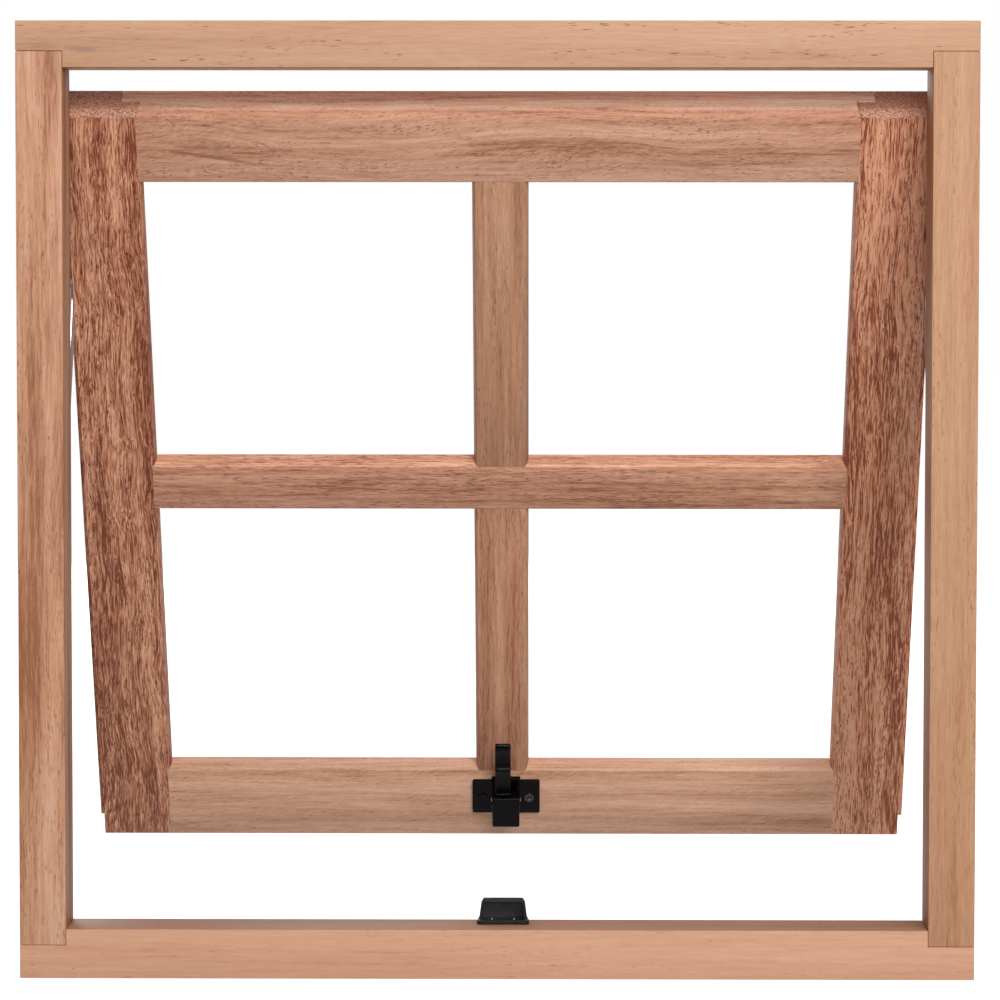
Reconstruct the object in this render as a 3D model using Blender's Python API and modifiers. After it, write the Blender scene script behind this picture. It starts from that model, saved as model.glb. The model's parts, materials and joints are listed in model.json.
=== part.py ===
"""Top-hung projecting timber window: outer frame, four-pane sash, sliding side stays and lever latch.

Metres, +Z up, +X to the right seen from the room, +Y to the outside. The origin is the middle of the
sill's underside. The sash stands open, as the rest pose. Run it from the command line or the text editor.
"""

import math

import bmesh
import bpy
from mathutils import Matrix, Vector

MM = 0.001

# ---- Driving dimensions -------------------------------------------------------------------------
FRAME_WIDTH = 600 * MM
FRAME_HEIGHT = 600 * MM
FRAME_DEPTH = 85 * MM
JAMB_FACE = 29 * MM          # frame timber seen from the room, jambs and head
SILL_FACE = 31 * MM
STOP_DEPTH = 44 * MM         # the stop that the closed sash rests behind
REBATE_WALL = 15 * MM        # timber left behind the stop
SILL_STEP = 7 * MM           # the sill's fall behind the stop, and again to its outer edge
HOUSING = 10 * MM            # how far the jambs are let into the head and the sill
POCKET_SINK = 2 * MM         # how far the jambs' thin backs are let into the sill

SASH_WIDTH = 551 * MM
SASH_HEIGHT = 552 * MM
SASH_DEPTH = 30 * MM
STILE = 48 * MM              # all timber widths include the moulding
TOP_RAIL = 52 * MM
BOTTOM_RAIL = 55 * MM
BAR = 36.3 * MM
BAR_OFFSET = 1.2 * MM        # the vertical bars sit a little right of the middle
LIP = 5 * MM                 # the stiles' outer lip
LIP_START = 24 * MM
MOULD_WIDTH = 2.6 * MM
MOULD_DEPTH = 12 * MM
REBATE_START = 13 * MM       # glazing rebate, open to the outside
REBATE = 12 * MM
TOP_ROUND = 6.5 * MM

OPEN_ANGLE = math.radians(26.8)   # rest pose
LINK = 125 * MM              # shoe pivot to arm pivot, and arm pivot to frame pivot
PIVOT_DROP = 10 * MM         # shoe pivot below the sash's top edge
PIVOT_BACK = 15 * MM         # all stay pivots behind the sash's room face
CLOSED_GAP = 1.3 * MM        # closed sash to stop
HEAD_LAP = 9.3 * MM          # closed sash behind the head's stop
GAP = 0.3 * MM               # between touching pieces

LATCH_X = 3.8 * MM           # latch and keeper sit a little to the right of the middle

# ---- Places worked out from them ----------------------------------------------------------------
ROOM = -FRAME_DEPTH / 2
OUTSIDE = FRAME_DEPTH / 2
STOP_BACK = ROOM + STOP_DEPTH
HALF_WIDTH = FRAME_WIDTH / 2
HALF_SASH = SASH_WIDTH / 2
REBATE_X = HALF_WIDTH - REBATE_WALL
HEAD_UNDER = FRAME_HEIGHT - JAMB_FACE
PIVOT_Y = STOP_BACK + CLOSED_GAP + PIVOT_BACK
SASH_TOP_CLOSED = HEAD_UNDER + HEAD_LAP
FRAME_PIVOT_Z = SASH_TOP_CLOSED - PIVOT_DROP - 2 * LINK
SHOE_PIVOT_Z = FRAME_PIVOT_Z + 2 * LINK * math.cos(OPEN_ANGLE)
ARM_PIVOT = Vector((0, PIVOT_Y + LINK * math.sin(OPEN_ANGLE), FRAME_PIVOT_Z + LINK * math.cos(OPEN_ANGLE)))

# Sash pieces use the sash's own axes: X across, Y from room to outside, Z up along the sash, with the
# origin on the arm pivots' axis. In these axes:
SASH_TOP = PIVOT_DROP + LINK
SASH_BOTTOM = SASH_TOP - SASH_HEIGHT
SASH_FACE = -PIVOT_BACK
SASH_BACK = SASH_FACE + SASH_DEPTH
PANE_HEIGHT = (SASH_HEIGHT - TOP_RAIL - BOTTOM_RAIL - BAR) / 2
MIDDLE_BAR_Z = SASH_TOP - TOP_RAIL - PANE_HEIGHT - BAR / 2
TENON_FRONT = SASH_FACE + REBATE_START + 2 * MM
TENON_THICK = 9 * MM
TENON_OVERLAP = 3 * MM       # how far a tenon's block starts inside its own timber
RAIL_TENON = 20 * MM
BAR_TENON = 12 * MM
TOP_TENON_DROP = 12 * MM     # top rail's tenon below the sash's top
BOTTOM_TENON_RISE = 10 * MM  # bottom rail's tenon above the sash's bottom
TENON_INSET = 4 * MM         # rail tenons inside the rebates
BAR_TENON_INSET = 2 * MM
END_SPARE = 2 * MM           # rails and bars are drawn longer, then scribed back
STUB_REACH = 5 * MM          # the vertical bars' short tenons
STUB_HALF = 5 * MM

# Side stays, as distances from the window's middle plane
STAY_WIDTH = 16 * MM
STAY_THICK = 2 * MM
BAR_OUTER = HALF_SASH
BAR_INNER = BAR_OUTER - STAY_THICK
ARM_INNER = BAR_OUTER + GAP
ARM_OUTER = ARM_INNER + STAY_THICK
TRACK_BASE = REBATE_X - 1.5 * MM
TRACK_EDGE = REBATE_X - 3.7 * MM
TRACK_WIDTH = 19 * MM
TRACK_WALL = 1.2 * MM
TRACK_TOP = FRAME_HEIGHT - REBATE_WALL - 3 * MM
TRACK_LENGTH = 285 * MM
TRACK_SCREWS = (530 * MM, 425 * MM, 345 * MM)      # heights above the window's base
SASH_BAR_END = -60 * MM      # the sash bar's lower round end, from the arm pivot
BAR_SCREWS = (82 * MM, 42 * MM, -48 * MM)          # places along the sash bar
SHOE_HALF = 10 * MM
SHOE_ROUND = 3 * MM
SHOE_HUB = 7.2 * MM
RIVET = 3.2 * MM
RIVET_HEAD = 5.5 * MM
RIVET_HEAD_THICK = MM
CROWN = 1.2 * MM             # domed head outside the arm
CROWN_RIM = 0.5 * MM
PIVOT_END_GAP = 1.6 * MM     # shoe pivot's end short of the slide's back

# Latch, in the sash's axes: its pivot, and sizes from that pivot
LATCH_PIVOT = Vector((LATCH_X, SASH_FACE - 8 * MM, SASH_BOTTOM + 34.5 * MM))
PLATE_THICK = 2.5 * MM
EAR_HALF = 23.2 * MM
EAR_LOW, EAR_HIGH = -15.1 * MM, 11.2 * MM
EAR_ROUND = 1.4 * MM
EAR_SCREW_X, EAR_SCREW_Z = 16 * MM, -3 * MM
CHEEK_ROUND = 6 * MM         # cheek round the pin
CHEEK_TOP, CHEEK_SHOULDER, CHEEK_LOW = 14.5 * MM, 12 * MM, -10.5 * MM
BRIDGE_LOW = 9.5 * MM
BRIDGE_THICK = 3.5 * MM
HUB_ROUND = 5.4 * MM
HUB_HALF = 7.4 * MM
CLAW_HALF = 9.35 * MM
HANDLE_HALF = 5.35 * MM
HANDLE_SHIFT = -2 * MM       # the handle stands left of the claw's middle
CHEEK_OUTER = 9.8 * MM
LATCH_PIN = 2 * MM
PIN_CHAMFER = 0.4 * MM
BORE_REACH = 15 * MM
# Side outlines of the lever, as millimetres (towards the outside, up) from its pivot
HUB_BACK = ((-1.5, 8), (-7, 8), (-7, -7.5), (-2, -6))
CLAW = ((-6.5, 7.5), (-7.5, 8.5), (-12.2, 8.5), (-13, 7.7), (-13, -14), (-12, -15.5), (-10.2, -15.5),
        (-10.2, -8.5), (-9.2, -7.5), (-6.5, -7.5))
HANDLE = ((-1.6, 7), (-1.4, 24), (-2.2, 40), (-3.2, 47.5), (-5, 49.3), (-7.6, 48), (-8, 43), (-6.6, 36),
          (-6, 27), (-6.4, 17), (-6, 7))

# Keeper, in the window's axes
KEEPER_FRONT = ROOM + 21.8 * MM
KEEPER_WALL = ROOM + 37.5 * MM
KEEPER_BACK = ROOM + 41 * MM
KEEPER_HEIGHT = 14.6 * MM
KEEPER_FLANGE = 2.4 * MM
KEEPER_HALF_FOOT, KEEPER_HALF_TOP = 16.5 * MM, 13.2 * MM
KEEPER_ROUND = 2.5 * MM
KEEPER_TAPER = 1.2 * MM      # the flange's back corners drawn in
WALL_INSET = 1.3 * MM        # the wall's foot inside the flange's ends
KEEPER_SCREW_X, KEEPER_SCREW_Y = 7 * MM, 8 * MM

# Wood screws: head radius, head height, shank radius, length
FRAME_SCREW = (4.5 * MM, 3.2 * MM, 2.2 * MM, 52 * MM)
STAY_SCREW = (3.2 * MM, 1.4 * MM, 1.6 * MM, 13 * MM)
LATCH_SCREW = (3.6 * MM, 1.9 * MM, 1.8 * MM, 18 * MM)

ROUND_STEPS = 16
OVER = 5 * MM                # cutters run past the timber by this much
SIDES = ((-1, "left"), (1, "right"))


# ---- Scene helpers ------------------------------------------------------------------------------
def clear_scene():
    for obj in list(bpy.data.objects):
        bpy.data.objects.remove(obj, do_unlink=True)


def make_collection(name):
    collection = bpy.data.collections.new(name)
    bpy.context.scene.collection.children.link(collection)
    return collection


def make_material(name, colour, roughness, metallic=0.0):
    material = bpy.data.materials.new(name)
    material.use_nodes = True
    shader = material.node_tree.nodes["Principled BSDF"]
    shader.inputs["Base Color"].default_value = (*colour, 1.0)
    shader.inputs["Roughness"].default_value = roughness
    shader.inputs["Metallic"].default_value = metallic
    material.diffuse_color = (*colour, 1.0)
    return material


def make_frame(name, place, tilt=0.0, parent=None):
    """An empty that carries the pieces of one body; tilt turns it about +X."""
    empty = bpy.data.objects.new(name, None)
    PARTS.objects.link(empty)
    empty.parent = parent
    empty.location = place
    empty.rotation_euler = (tilt, 0, 0)
    return empty


def add_object(name, mesh, body, finish):
    """Link a mesh as a part, or as a cutter where finish is None."""
    obj = bpy.data.objects.new(name, mesh)
    (PARTS if finish else CUTTERS).objects.link(obj)
    obj.parent = body
    if finish:
        mesh.materials.append(make_material(name, *FINISHES[finish]))
    else:
        obj.hide_render = True
        obj.display_type = "WIRE"
    return obj


# ---- Shape helpers ------------------------------------------------------------------------------
# Each turns a flat outline's X, Y and thickness to the named direction of extrusion: an outline
# extruded along X is drawn in (y, z), one along Y in (x, z) and one along Z in (x, y).
EXTRUDE = {
    "X": Matrix(((0, 0, 1, 0), (1, 0, 0, 0), (0, 1, 0, 0), (0, 0, 0, 1))),
    "Y": Matrix.Rotation(math.radians(90), 4, "X"),
    "Z": Matrix.Identity(4),
}
ALONG = {"X": Vector((1, 0, 0)), "Y": Vector((0, 1, 0)), "Z": Vector((0, 0, 1))}


def plate(name, outline, low, high, along, body, finish=None):
    """A flat outline extruded from low to high along one axis."""
    curve = bpy.data.curves.new(name, "CURVE")
    curve.dimensions = "2D"
    curve.fill_mode = "BOTH"
    curve.extrude = (high - low) / 2
    spline = curve.splines.new("POLY")
    spline.points.add(len(outline) - 1)
    for point, (u, v) in zip(spline.points, outline):
        point.co = (u, v, 0, 1)
    spline.use_cyclic_u = True
    guide = bpy.data.objects.new(name, curve)
    CUTTERS.objects.link(guide)
    depsgraph = bpy.context.evaluated_depsgraph_get()
    mesh = bpy.data.meshes.new_from_object(guide.evaluated_get(depsgraph))
    bpy.data.objects.remove(guide, do_unlink=True)
    bpy.data.curves.remove(curve)
    mesh.transform(Matrix.Translation(ALONG[along] * (low + high) / 2) @ EXTRUDE[along])
    shape = bmesh.new()
    shape.from_mesh(mesh)
    bmesh.ops.remove_doubles(shape, verts=shape.verts, dist=1e-7)
    bmesh.ops.recalc_face_normals(shape, faces=shape.faces)
    shape.to_mesh(mesh)
    shape.free()
    mesh.materials.clear()
    return add_object(name, mesh, body, finish)


def block(name, low, high, body, finish=None):
    """A box between two corners, given in either order."""
    low, high = Vector(low), Vector(high)
    shape = bmesh.new()
    place = Matrix.Translation((low + high) / 2) @ Matrix.Diagonal((*(high - low), 1))
    bmesh.ops.create_cube(shape, size=1, matrix=place)
    bmesh.ops.recalc_face_normals(shape, faces=shape.faces)
    mesh = bpy.data.meshes.new(name)
    shape.to_mesh(mesh)
    shape.free()
    return add_object(name, mesh, body, finish)


def turned(name, profile, place, direction, body, finish=None):
    """A profile of (radius, height) points, top to bottom, turned about direction through place."""
    mesh = bpy.data.meshes.new(name)
    points = [(radius, 0, height) for radius, height in profile]
    mesh.from_pydata(points, [(i, i + 1) for i in range(len(points) - 1)], [])
    obj = add_object(name, mesh, body, finish)
    obj.location = place
    obj.rotation_mode = "QUATERNION"
    obj.rotation_quaternion = Vector((0, 0, 1)).rotation_difference(Vector(direction))
    screw = obj.modifiers.new("Turn", "SCREW")
    screw.steps = ROUND_STEPS
    screw.render_steps = ROUND_STEPS
    screw.use_merge_vertices = True
    screw.merge_threshold = 1e-5
    screw.use_smooth_shade = False
    return obj


def boolean(target, tool, operation):
    modifier = target.modifiers.new(operation.title(), "BOOLEAN")
    modifier.operation = operation
    modifier.solver = "EXACT"
    modifier.object = tool


def cut(targets, tool):
    for target in targets:
        boolean(target, tool, "DIFFERENCE")


def arc(centre, radius, start, end, steps):
    """Points on an arc, angles in degrees."""
    turns = [math.radians(start + (end - start) * i / steps) for i in range(steps + 1)]
    return [(centre[0] + radius * math.cos(a), centre[1] + radius * math.sin(a)) for a in turns]


def rounded_box(low, high, radius, steps=3):
    """Outline of a rectangle with four round corners."""
    corners = (((high[0] - radius), (high[1] - radius), 0), ((low[0] + radius), (high[1] - radius), 90),
               ((low[0] + radius), (low[1] + radius), 180), ((high[0] - radius), (low[1] + radius), 270))
    return [p for x, y, a in corners for p in arc((x, y), radius, a, a + 90, steps)]


def strip(centre_y, low, high, width, steps=8):
    """Outline of a flat bar along Z with round ends centred at low and high."""
    half = width / 2
    return arc((centre_y, high), half, 0, 180, steps) + arc((centre_y, low), half, 180, 360, steps)


def wood_screw(name, sizes, place, drive, body, finish, through):
    """A countersunk screw whose head is flush at place, driven along drive, with its hole cut."""
    head, sink, shank, length = sizes
    tip = 3 * shank
    flush = 0.1 * MM
    outer = -Vector(drive)
    profile = [(0, -flush), (head - flush, -flush), (shank, -sink), (shank, tip - length), (0, -length)]
    screw = turned(name, profile, place, outer, body, finish)
    hole = [(0, MM), (head + GAP, MM), (head + GAP, 0), (shank + GAP, -sink - GAP),
            (shank + GAP, -length - GAP), (0, -length - GAP)]
    cut(through, turned(name + "_hole", hole, place, outer, body))
    return screw


def bore(name, radius, low, high, centre, along, body, through):
    """A round hole through pieces, from low to high along one axis."""
    middle = Vector(centre)
    start = middle + ALONG[along] * high
    profile = [(0, 0), (radius, 0), (radius, low - high), (0, low - high)]
    cut(through, turned(name, profile, start, ALONG[along], body))


# ---- Outer frame --------------------------------------------------------------------------------
def build_frame():
    """Head, sill and jambs with their housings, and the screws through the joints. Returns the sill."""
    rebate_top = FRAME_HEIGHT - REBATE_WALL
    sill_floor = SILL_FACE - SILL_STEP
    sill_edge = sill_floor - SILL_STEP
    # Sections in (y, z): a thick stop towards the room and a thinner part behind it
    head_outline = [(ROOM, HEAD_UNDER), (STOP_BACK, HEAD_UNDER), (STOP_BACK, rebate_top),
                    (OUTSIDE, rebate_top), (OUTSIDE, FRAME_HEIGHT), (ROOM, FRAME_HEIGHT)]
    sill_outline = [(ROOM, 0), (OUTSIDE, 0), (OUTSIDE, sill_edge), (STOP_BACK, sill_floor),
                    (STOP_BACK, SILL_FACE), (ROOM, SILL_FACE)]
    head = plate("frame_head", head_outline, -HALF_WIDTH, HALF_WIDTH, "X", None, "head_timber")
    sill = plate("frame_sill", sill_outline, -HALF_WIDTH, HALF_WIDTH, "X", None, "sill_timber")
    jamb_low = SILL_FACE - HOUSING
    jamb_high = HEAD_UNDER + HOUSING
    back_low = sill_edge - POCKET_SINK
    back_high = rebate_top - GAP
    for side, name in SIDES:
        inner = side * (HALF_WIDTH - JAMB_FACE)
        wall = side * REBATE_X
        outer = side * HALF_WIDTH
        past = outer + side * OVER
        # Housings in the head and the sill take the jamb's section and leave the usual gap round it
        head_housing = block(f"head_housing_{name}", (inner - side * GAP, ROOM - OVER, HEAD_UNDER - OVER),
                             (past, STOP_BACK + GAP, jamb_high + GAP), None)
        cut([head], head_housing)
        sill_housing = block(f"sill_housing_{name}", (inner - side * GAP, ROOM - OVER, jamb_low - GAP),
                             (past, STOP_BACK + GAP, SILL_FACE + OVER), None)
        cut([sill], sill_housing)
        pocket = block(f"sill_pocket_{name}", (wall - side * GAP, STOP_BACK - GAP, back_low - GAP),
                       (past, OUTSIDE + OVER, SILL_FACE + OVER), None)
        cut([sill], pocket)
        jamb = block(f"frame_jamb_{name}", (inner, ROOM, jamb_low), (outer, STOP_BACK, jamb_high),
                     None, f"jamb_{name}_timber")
        back = block(f"jamb_back_{name}", (wall, STOP_BACK, back_low), (outer, OUTSIDE, back_high), None)
        boolean(jamb, back, "UNION")
        JAMBS[side] = jamb
        # Two screws through the head and two through the sill hold each jamb's ends
        spots = (("room", HALF_WIDTH - JAMB_FACE / 2, ROOM + STOP_DEPTH / 2),
                 ("outer", HALF_WIDTH - REBATE_WALL / 2, (STOP_BACK + OUTSIDE) / 2))
        for place, x, y in spots:
            wood_screw(f"head_screw_{name}_{place}", FRAME_SCREW, (side * x, y, FRAME_HEIGHT), (0, 0, -1),
                       None, "steel", [head, jamb])
            wood_screw(f"sill_screw_{name}_{place}", FRAME_SCREW, (side * x, y, 0), (0, 0, 1),
                       None, "steel", [sill, jamb])
    return sill


# ---- Sash timber --------------------------------------------------------------------------------
def moulding(edge, inward, grow=0.0):
    """Points (across, depth) of the room-side ovolo, the glazing tongue and the rebate.

    edge is where the timber ends, and inward is +1 or -1, the way out of the timber into the pane.
    """
    front = edge - inward * MOULD_WIDTH
    steps = 5
    turns = [math.radians(90 * i / steps) for i in range(steps + 1)]
    curve = [(front + inward * (MOULD_WIDTH * math.sin(a) + grow),
              SASH_FACE + MOULD_DEPTH * (1 - math.cos(a))) for a in turns]
    tongue = SASH_FACE + REBATE_START + grow
    far = edge + inward * grow
    return curve + [(far, tongue), (far - inward * REBATE, tongue), (far - inward * REBATE, SASH_BACK)]


def carried_on(points, beyond):
    """A moulding carried on past the sash's faces and closed at beyond, inside the timber, as a cutter."""
    first, last = points[0], points[-1]
    front, back = SASH_FACE - MM, SASH_BACK + MM
    return [(first[0], front)] + points + [(last[0], back), (beyond, back), (beyond, front)]


def stile_outline(side):
    outer = side * HALF_SASH
    lip = side * (HALF_SASH + LIP)
    edge = side * (HALF_SASH - STILE)
    start = SASH_FACE + LIP_START
    return moulding(edge, -side) + [(lip, SASH_BACK), (lip, start), (outer, start), (outer, SASH_FACE)]


def stile_cutter_outline(side):
    edge = side * (HALF_SASH - STILE)
    return carried_on(moulding(edge, -side, GAP), side * (HALF_SASH + 3 * LIP))


def flip(points):
    """Swap (across, depth) for (depth, across), the order that an outline along X is drawn in."""
    return [(depth, across) for across, depth in points]


def rounded_top():
    """Section in (y, z) of the room-side round-over along the sash's top, as a cutter."""
    centre_y, centre_z = SASH_FACE + TOP_ROUND, SASH_TOP - TOP_ROUND
    front, top = SASH_FACE - 2 * MM, SASH_TOP + 2 * MM
    corner = [(front, centre_z), (front, top), (centre_y, top)]
    return arc((centre_y, centre_z), TOP_ROUND, 90, 180, 6) + corner


def build_sash_timber(sash):
    """Stiles, rails and glazing bars. Returns the stiles by side, and the bottom rail."""
    top_edge = SASH_TOP - TOP_RAIL
    bottom_edge = SASH_BOTTOM + BOTTOM_RAIL
    bar_top, bar_bottom = MIDDLE_BAR_Z + BAR / 2, MIDDLE_BAR_Z - BAR / 2
    inner = HALF_SASH - STILE
    length = inner + REBATE + END_SPARE

    stiles = {}
    for side, name in SIDES:
        stiles[side] = plate(f"sash_stile_{name}", stile_outline(side), SASH_BOTTOM, SASH_TOP, "Z",
                             sash, "sash_timber")
    top_section = flip(moulding(top_edge, -1)) + [(SASH_BACK, SASH_TOP), (SASH_FACE, SASH_TOP)]
    top = plate("sash_top_rail", top_section, -length, length, "X", sash, "top_timber")
    bottom_section = flip(moulding(bottom_edge, 1)) + [(SASH_BACK, SASH_BOTTOM), (SASH_FACE, SASH_BOTTOM)]
    bottom = plate("sash_bottom_rail", bottom_section, -length, length, "X", sash, "bottom_timber")
    middle_section = flip(moulding(bar_top, 1) + moulding(bar_bottom, -1)[::-1])
    middle = plate("glazing_bar_middle", middle_section, -length, length, "X", sash, "sash_timber")

    # Rails and the middle bar are scribed over the stiles' moulding and tenoned into them
    for side, name in SIDES:
        scribe = plate(f"stile_scribe_{name}", stile_cutter_outline(side), SASH_BOTTOM - LIP, SASH_TOP + LIP,
                       "Z", sash)
        cut([top, bottom, middle], scribe)
    rail_inset, bar_inset = REBATE + TENON_INSET, REBATE + BAR_TENON_INSET
    tenons = (
        ("top", top, top_edge + rail_inset, SASH_TOP - TOP_TENON_DROP, RAIL_TENON),
        ("bottom", bottom, SASH_BOTTOM + BOTTOM_TENON_RISE, bottom_edge - rail_inset, RAIL_TENON),
        ("middle", middle, bar_bottom + bar_inset, bar_top - bar_inset, BAR_TENON),
    )
    for stem, rail, low, high, reach in tenons:
        for side, name in SIDES:
            shoulder = side * (inner + REBATE)
            add_tenon(f"{stem}_tenon_{name}", rail, stiles[side],
                      (shoulder - side * TENON_OVERLAP, low), (shoulder + side * reach, high), sash)

    rounding = plate("top_rounding", rounded_top(), -HALF_SASH - 3 * LIP, HALF_SASH + 3 * LIP, "X", sash)
    cut([top, *stiles.values()], rounding)

    # Upper and lower vertical bars, scribed over the rails and the middle bar and stub-tenoned into them
    half = BAR / 2
    section = moulding(BAR_OFFSET + half, 1) + moulding(BAR_OFFSET - half, -1)[::-1]
    spare = REBATE + END_SPARE
    upper = plate("glazing_bar_upper", section, bar_top - spare, top_edge + spare, "Z", sash, "sash_timber")
    lower = plate("glazing_bar_lower", section, bottom_edge - spare, bar_bottom + spare, "Z", sash,
                  "sash_timber")
    joints = (
        ("upper_top", upper, top, top_edge, 1, SASH_TOP + LIP),
        ("upper_middle", upper, middle, bar_top, -1, MIDDLE_BAR_Z),
        ("lower_middle", lower, middle, bar_bottom, 1, MIDDLE_BAR_Z),
        ("lower_bottom", lower, bottom, bottom_edge, -1, SASH_BOTTOM - LIP),
    )
    for stem, bar, _, edge, way, beyond in joints:
        outline = carried_on(moulding(edge, -way, GAP), beyond)
        cut([bar], plate(f"{stem}_scribe", flip(outline), -BAR, BAR, "X", sash))
    for stem, bar, rail, edge, way, _ in joints:
        shoulder = edge + way * REBATE
        add_tenon(f"{stem}_tenon", bar, rail, (BAR_OFFSET - STUB_HALF, shoulder - way * TENON_OVERLAP),
                  (BAR_OFFSET + STUB_HALF, shoulder + way * STUB_REACH), sash)
    return stiles, bottom


def add_tenon(name, timber, mortised, corner_a, corner_b, sash):
    """Join a tenon to one timber and cut its mortise in the other; corners are (x, z)."""
    low_x, high_x = sorted((corner_a[0], corner_b[0]))
    low_z, high_z = sorted((corner_a[1], corner_b[1]))
    low = Vector((low_x, TENON_FRONT, low_z))
    high = Vector((high_x, TENON_FRONT + TENON_THICK, high_z))
    spare = Vector((GAP, GAP, GAP))
    boolean(timber, block(name, low, high, sash), "UNION")
    cut([mortised], block(name + "_mortise", low - spare, high + spare, sash))


# ---- Side stays ---------------------------------------------------------------------------------
def build_stay(side, name, sash, arms, shoes, stile, jamb):
    """One side's track, shoe, sash bar, arm, three pivots and screws."""
    def across(a, b):
        return sorted((side * a, side * b))

    way = (side, 0, 0)
    # Channel track on the jamb
    half = TRACK_WIDTH / 2
    lip = half - TRACK_WALL
    channel = [(REBATE_X - GAP, -half), (TRACK_EDGE, -half), (TRACK_EDGE, -lip), (TRACK_BASE, -lip),
               (TRACK_BASE, lip), (TRACK_EDGE, lip), (TRACK_EDGE, half), (REBATE_X - GAP, half)]
    track = plate(f"stay_track_{name}", [(side * x, PIVOT_Y + y) for x, y in channel],
                  TRACK_TOP - TRACK_LENGTH, TRACK_TOP, "Z", None, "aluminium")
    for number, z in enumerate(TRACK_SCREWS, 1):
        wood_screw(f"track_screw_{name}_{number}", STAY_SCREW, (side * TRACK_BASE, PIVOT_Y, z), way,
                   None, "steel", [track, jamb])

    # Shoe: a slide block in the channel with a round hub towards the sash
    slide = TRACK_BASE - GAP
    slide_front = TRACK_EDGE + GAP
    half_slide = lip - GAP
    outline = rounded_box((-half_slide, -SHOE_HALF), (half_slide, SHOE_HALF), SHOE_ROUND)
    shoe = plate(f"stay_shoe_{name}", outline, *across(slide_front, slide), "X", shoes, "nylon")
    hub_low, hub_high = across(ARM_INNER, slide_front + 0.5 * MM)
    hub = plate(f"shoe_hub_{name}", arc((0, 0), SHOE_HUB, 0, 345, 23), hub_low, hub_high, "X", shoes)
    boolean(shoe, hub, "UNION")

    # Sash bar, let flush into the stile
    bar_low, bar_high = across(BAR_INNER, BAR_OUTER)
    bar = plate(f"stay_bar_{name}", strip(0, SASH_BAR_END, LINK, STAY_WIDTH), bar_low, bar_high, "X",
                sash, "aluminium")
    recess_low, recess_high = across(BAR_INNER - GAP, BAR_OUTER + MM)
    recess = plate(f"bar_recess_{name}", strip(0, SASH_BAR_END, LINK, STAY_WIDTH + 2 * GAP),
                   recess_low, recess_high, "X", sash)
    cut([stile], recess)
    for number, z in enumerate(BAR_SCREWS, 1):
        wood_screw(f"bar_screw_{name}_{number}", STAY_SCREW, (side * BAR_OUTER, 0, z), (-side, 0, 0),
                   sash, "steel", [bar, stile])

    # Arm from the frame pivot to the sash pivot
    arm_low, arm_high = across(ARM_INNER, ARM_OUTER)
    arm = plate(f"stay_arm_{name}", strip(0, 0, LINK, STAY_WIDTH), arm_low, arm_high, "X", arms, "aluminium")

    # Pivots, turned about X. Heights run outwards from the middle plane.
    head_start = BAR_INNER - GAP - RIVET_HEAD_THICK
    head_end = head_start + RIVET_HEAD_THICK
    clear = RIVET + GAP
    pocket = [(0, BAR_OUTER), (RIVET_HEAD + GAP, BAR_OUTER), (RIVET_HEAD + GAP, head_start - GAP),
              (0, head_start - GAP)]
    for stem, place in (("shoe", LINK), ("arm", 0)):
        cut([stile], turned(f"{stem}_rivet_pocket_{name}", pocket, (0, 0, place), way, sash))
        bore(f"{stem}_bar_bore_{name}", clear, -TRACK_BASE, TRACK_BASE, (0, 0, place), "X", sash, [bar])
    inner_head = [(RIVET, head_end), (RIVET_HEAD, head_end), (RIVET_HEAD, head_start), (0, head_start)]
    shoe_end = slide - PIVOT_END_GAP
    turned(f"shoe_pivot_{name}", [(0, shoe_end), (RIVET, shoe_end)] + inner_head, (0, 0, LINK), way,
           sash, "rivet")
    outer_head = ARM_OUTER + GAP
    crown = outer_head + CROWN
    dome = [(0, crown), (RIVET_HEAD - MM, crown), (RIVET_HEAD, outer_head + CROWN_RIM),
            (RIVET_HEAD, outer_head), (RIVET, outer_head)]
    turned(f"arm_pivot_{name}", dome + inner_head, (0, 0, 0), way, sash, "rivet")
    shoe_bore = [(0, shoe_end + GAP), (clear, shoe_end + GAP), (clear, 0), (0, 0)]
    cut([shoe], turned(f"shoe_bore_{name}", shoe_bore, (0, 0, 0), way, shoes))
    for stem, place in (("frame", 0), ("sash", LINK)):
        bore(f"{stem}_arm_bore_{name}", clear, -REBATE_X, REBATE_X, (0, 0, place), "X", arms, [arm])
    boss_end, boss_top, boss_start = REBATE_X - 2 * GAP, TRACK_BASE - GAP, ARM_INNER + GAP
    boss = [(0, boss_end), (RIVET, boss_end), (RIVET, boss_top), (RIVET_HEAD, boss_top),
            (RIVET_HEAD, outer_head), (RIVET, outer_head), (RIVET, boss_start), (0, boss_start)]
    frame_pivot = (0, PIVOT_Y, FRAME_PIVOT_Z)
    turned(f"frame_pivot_{name}", boss, frame_pivot, way, None, "rivet")
    seat = [(0, HALF_WIDTH), (clear, HALF_WIDTH), (clear, 0), (0, 0)]
    cut([track], turned(f"frame_pivot_seat_{name}", seat, frame_pivot, way, None))


# ---- Latch --------------------------------------------------------------------------------------
def metres(points):
    return [(u * MM, v * MM) for u, v in points]


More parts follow.
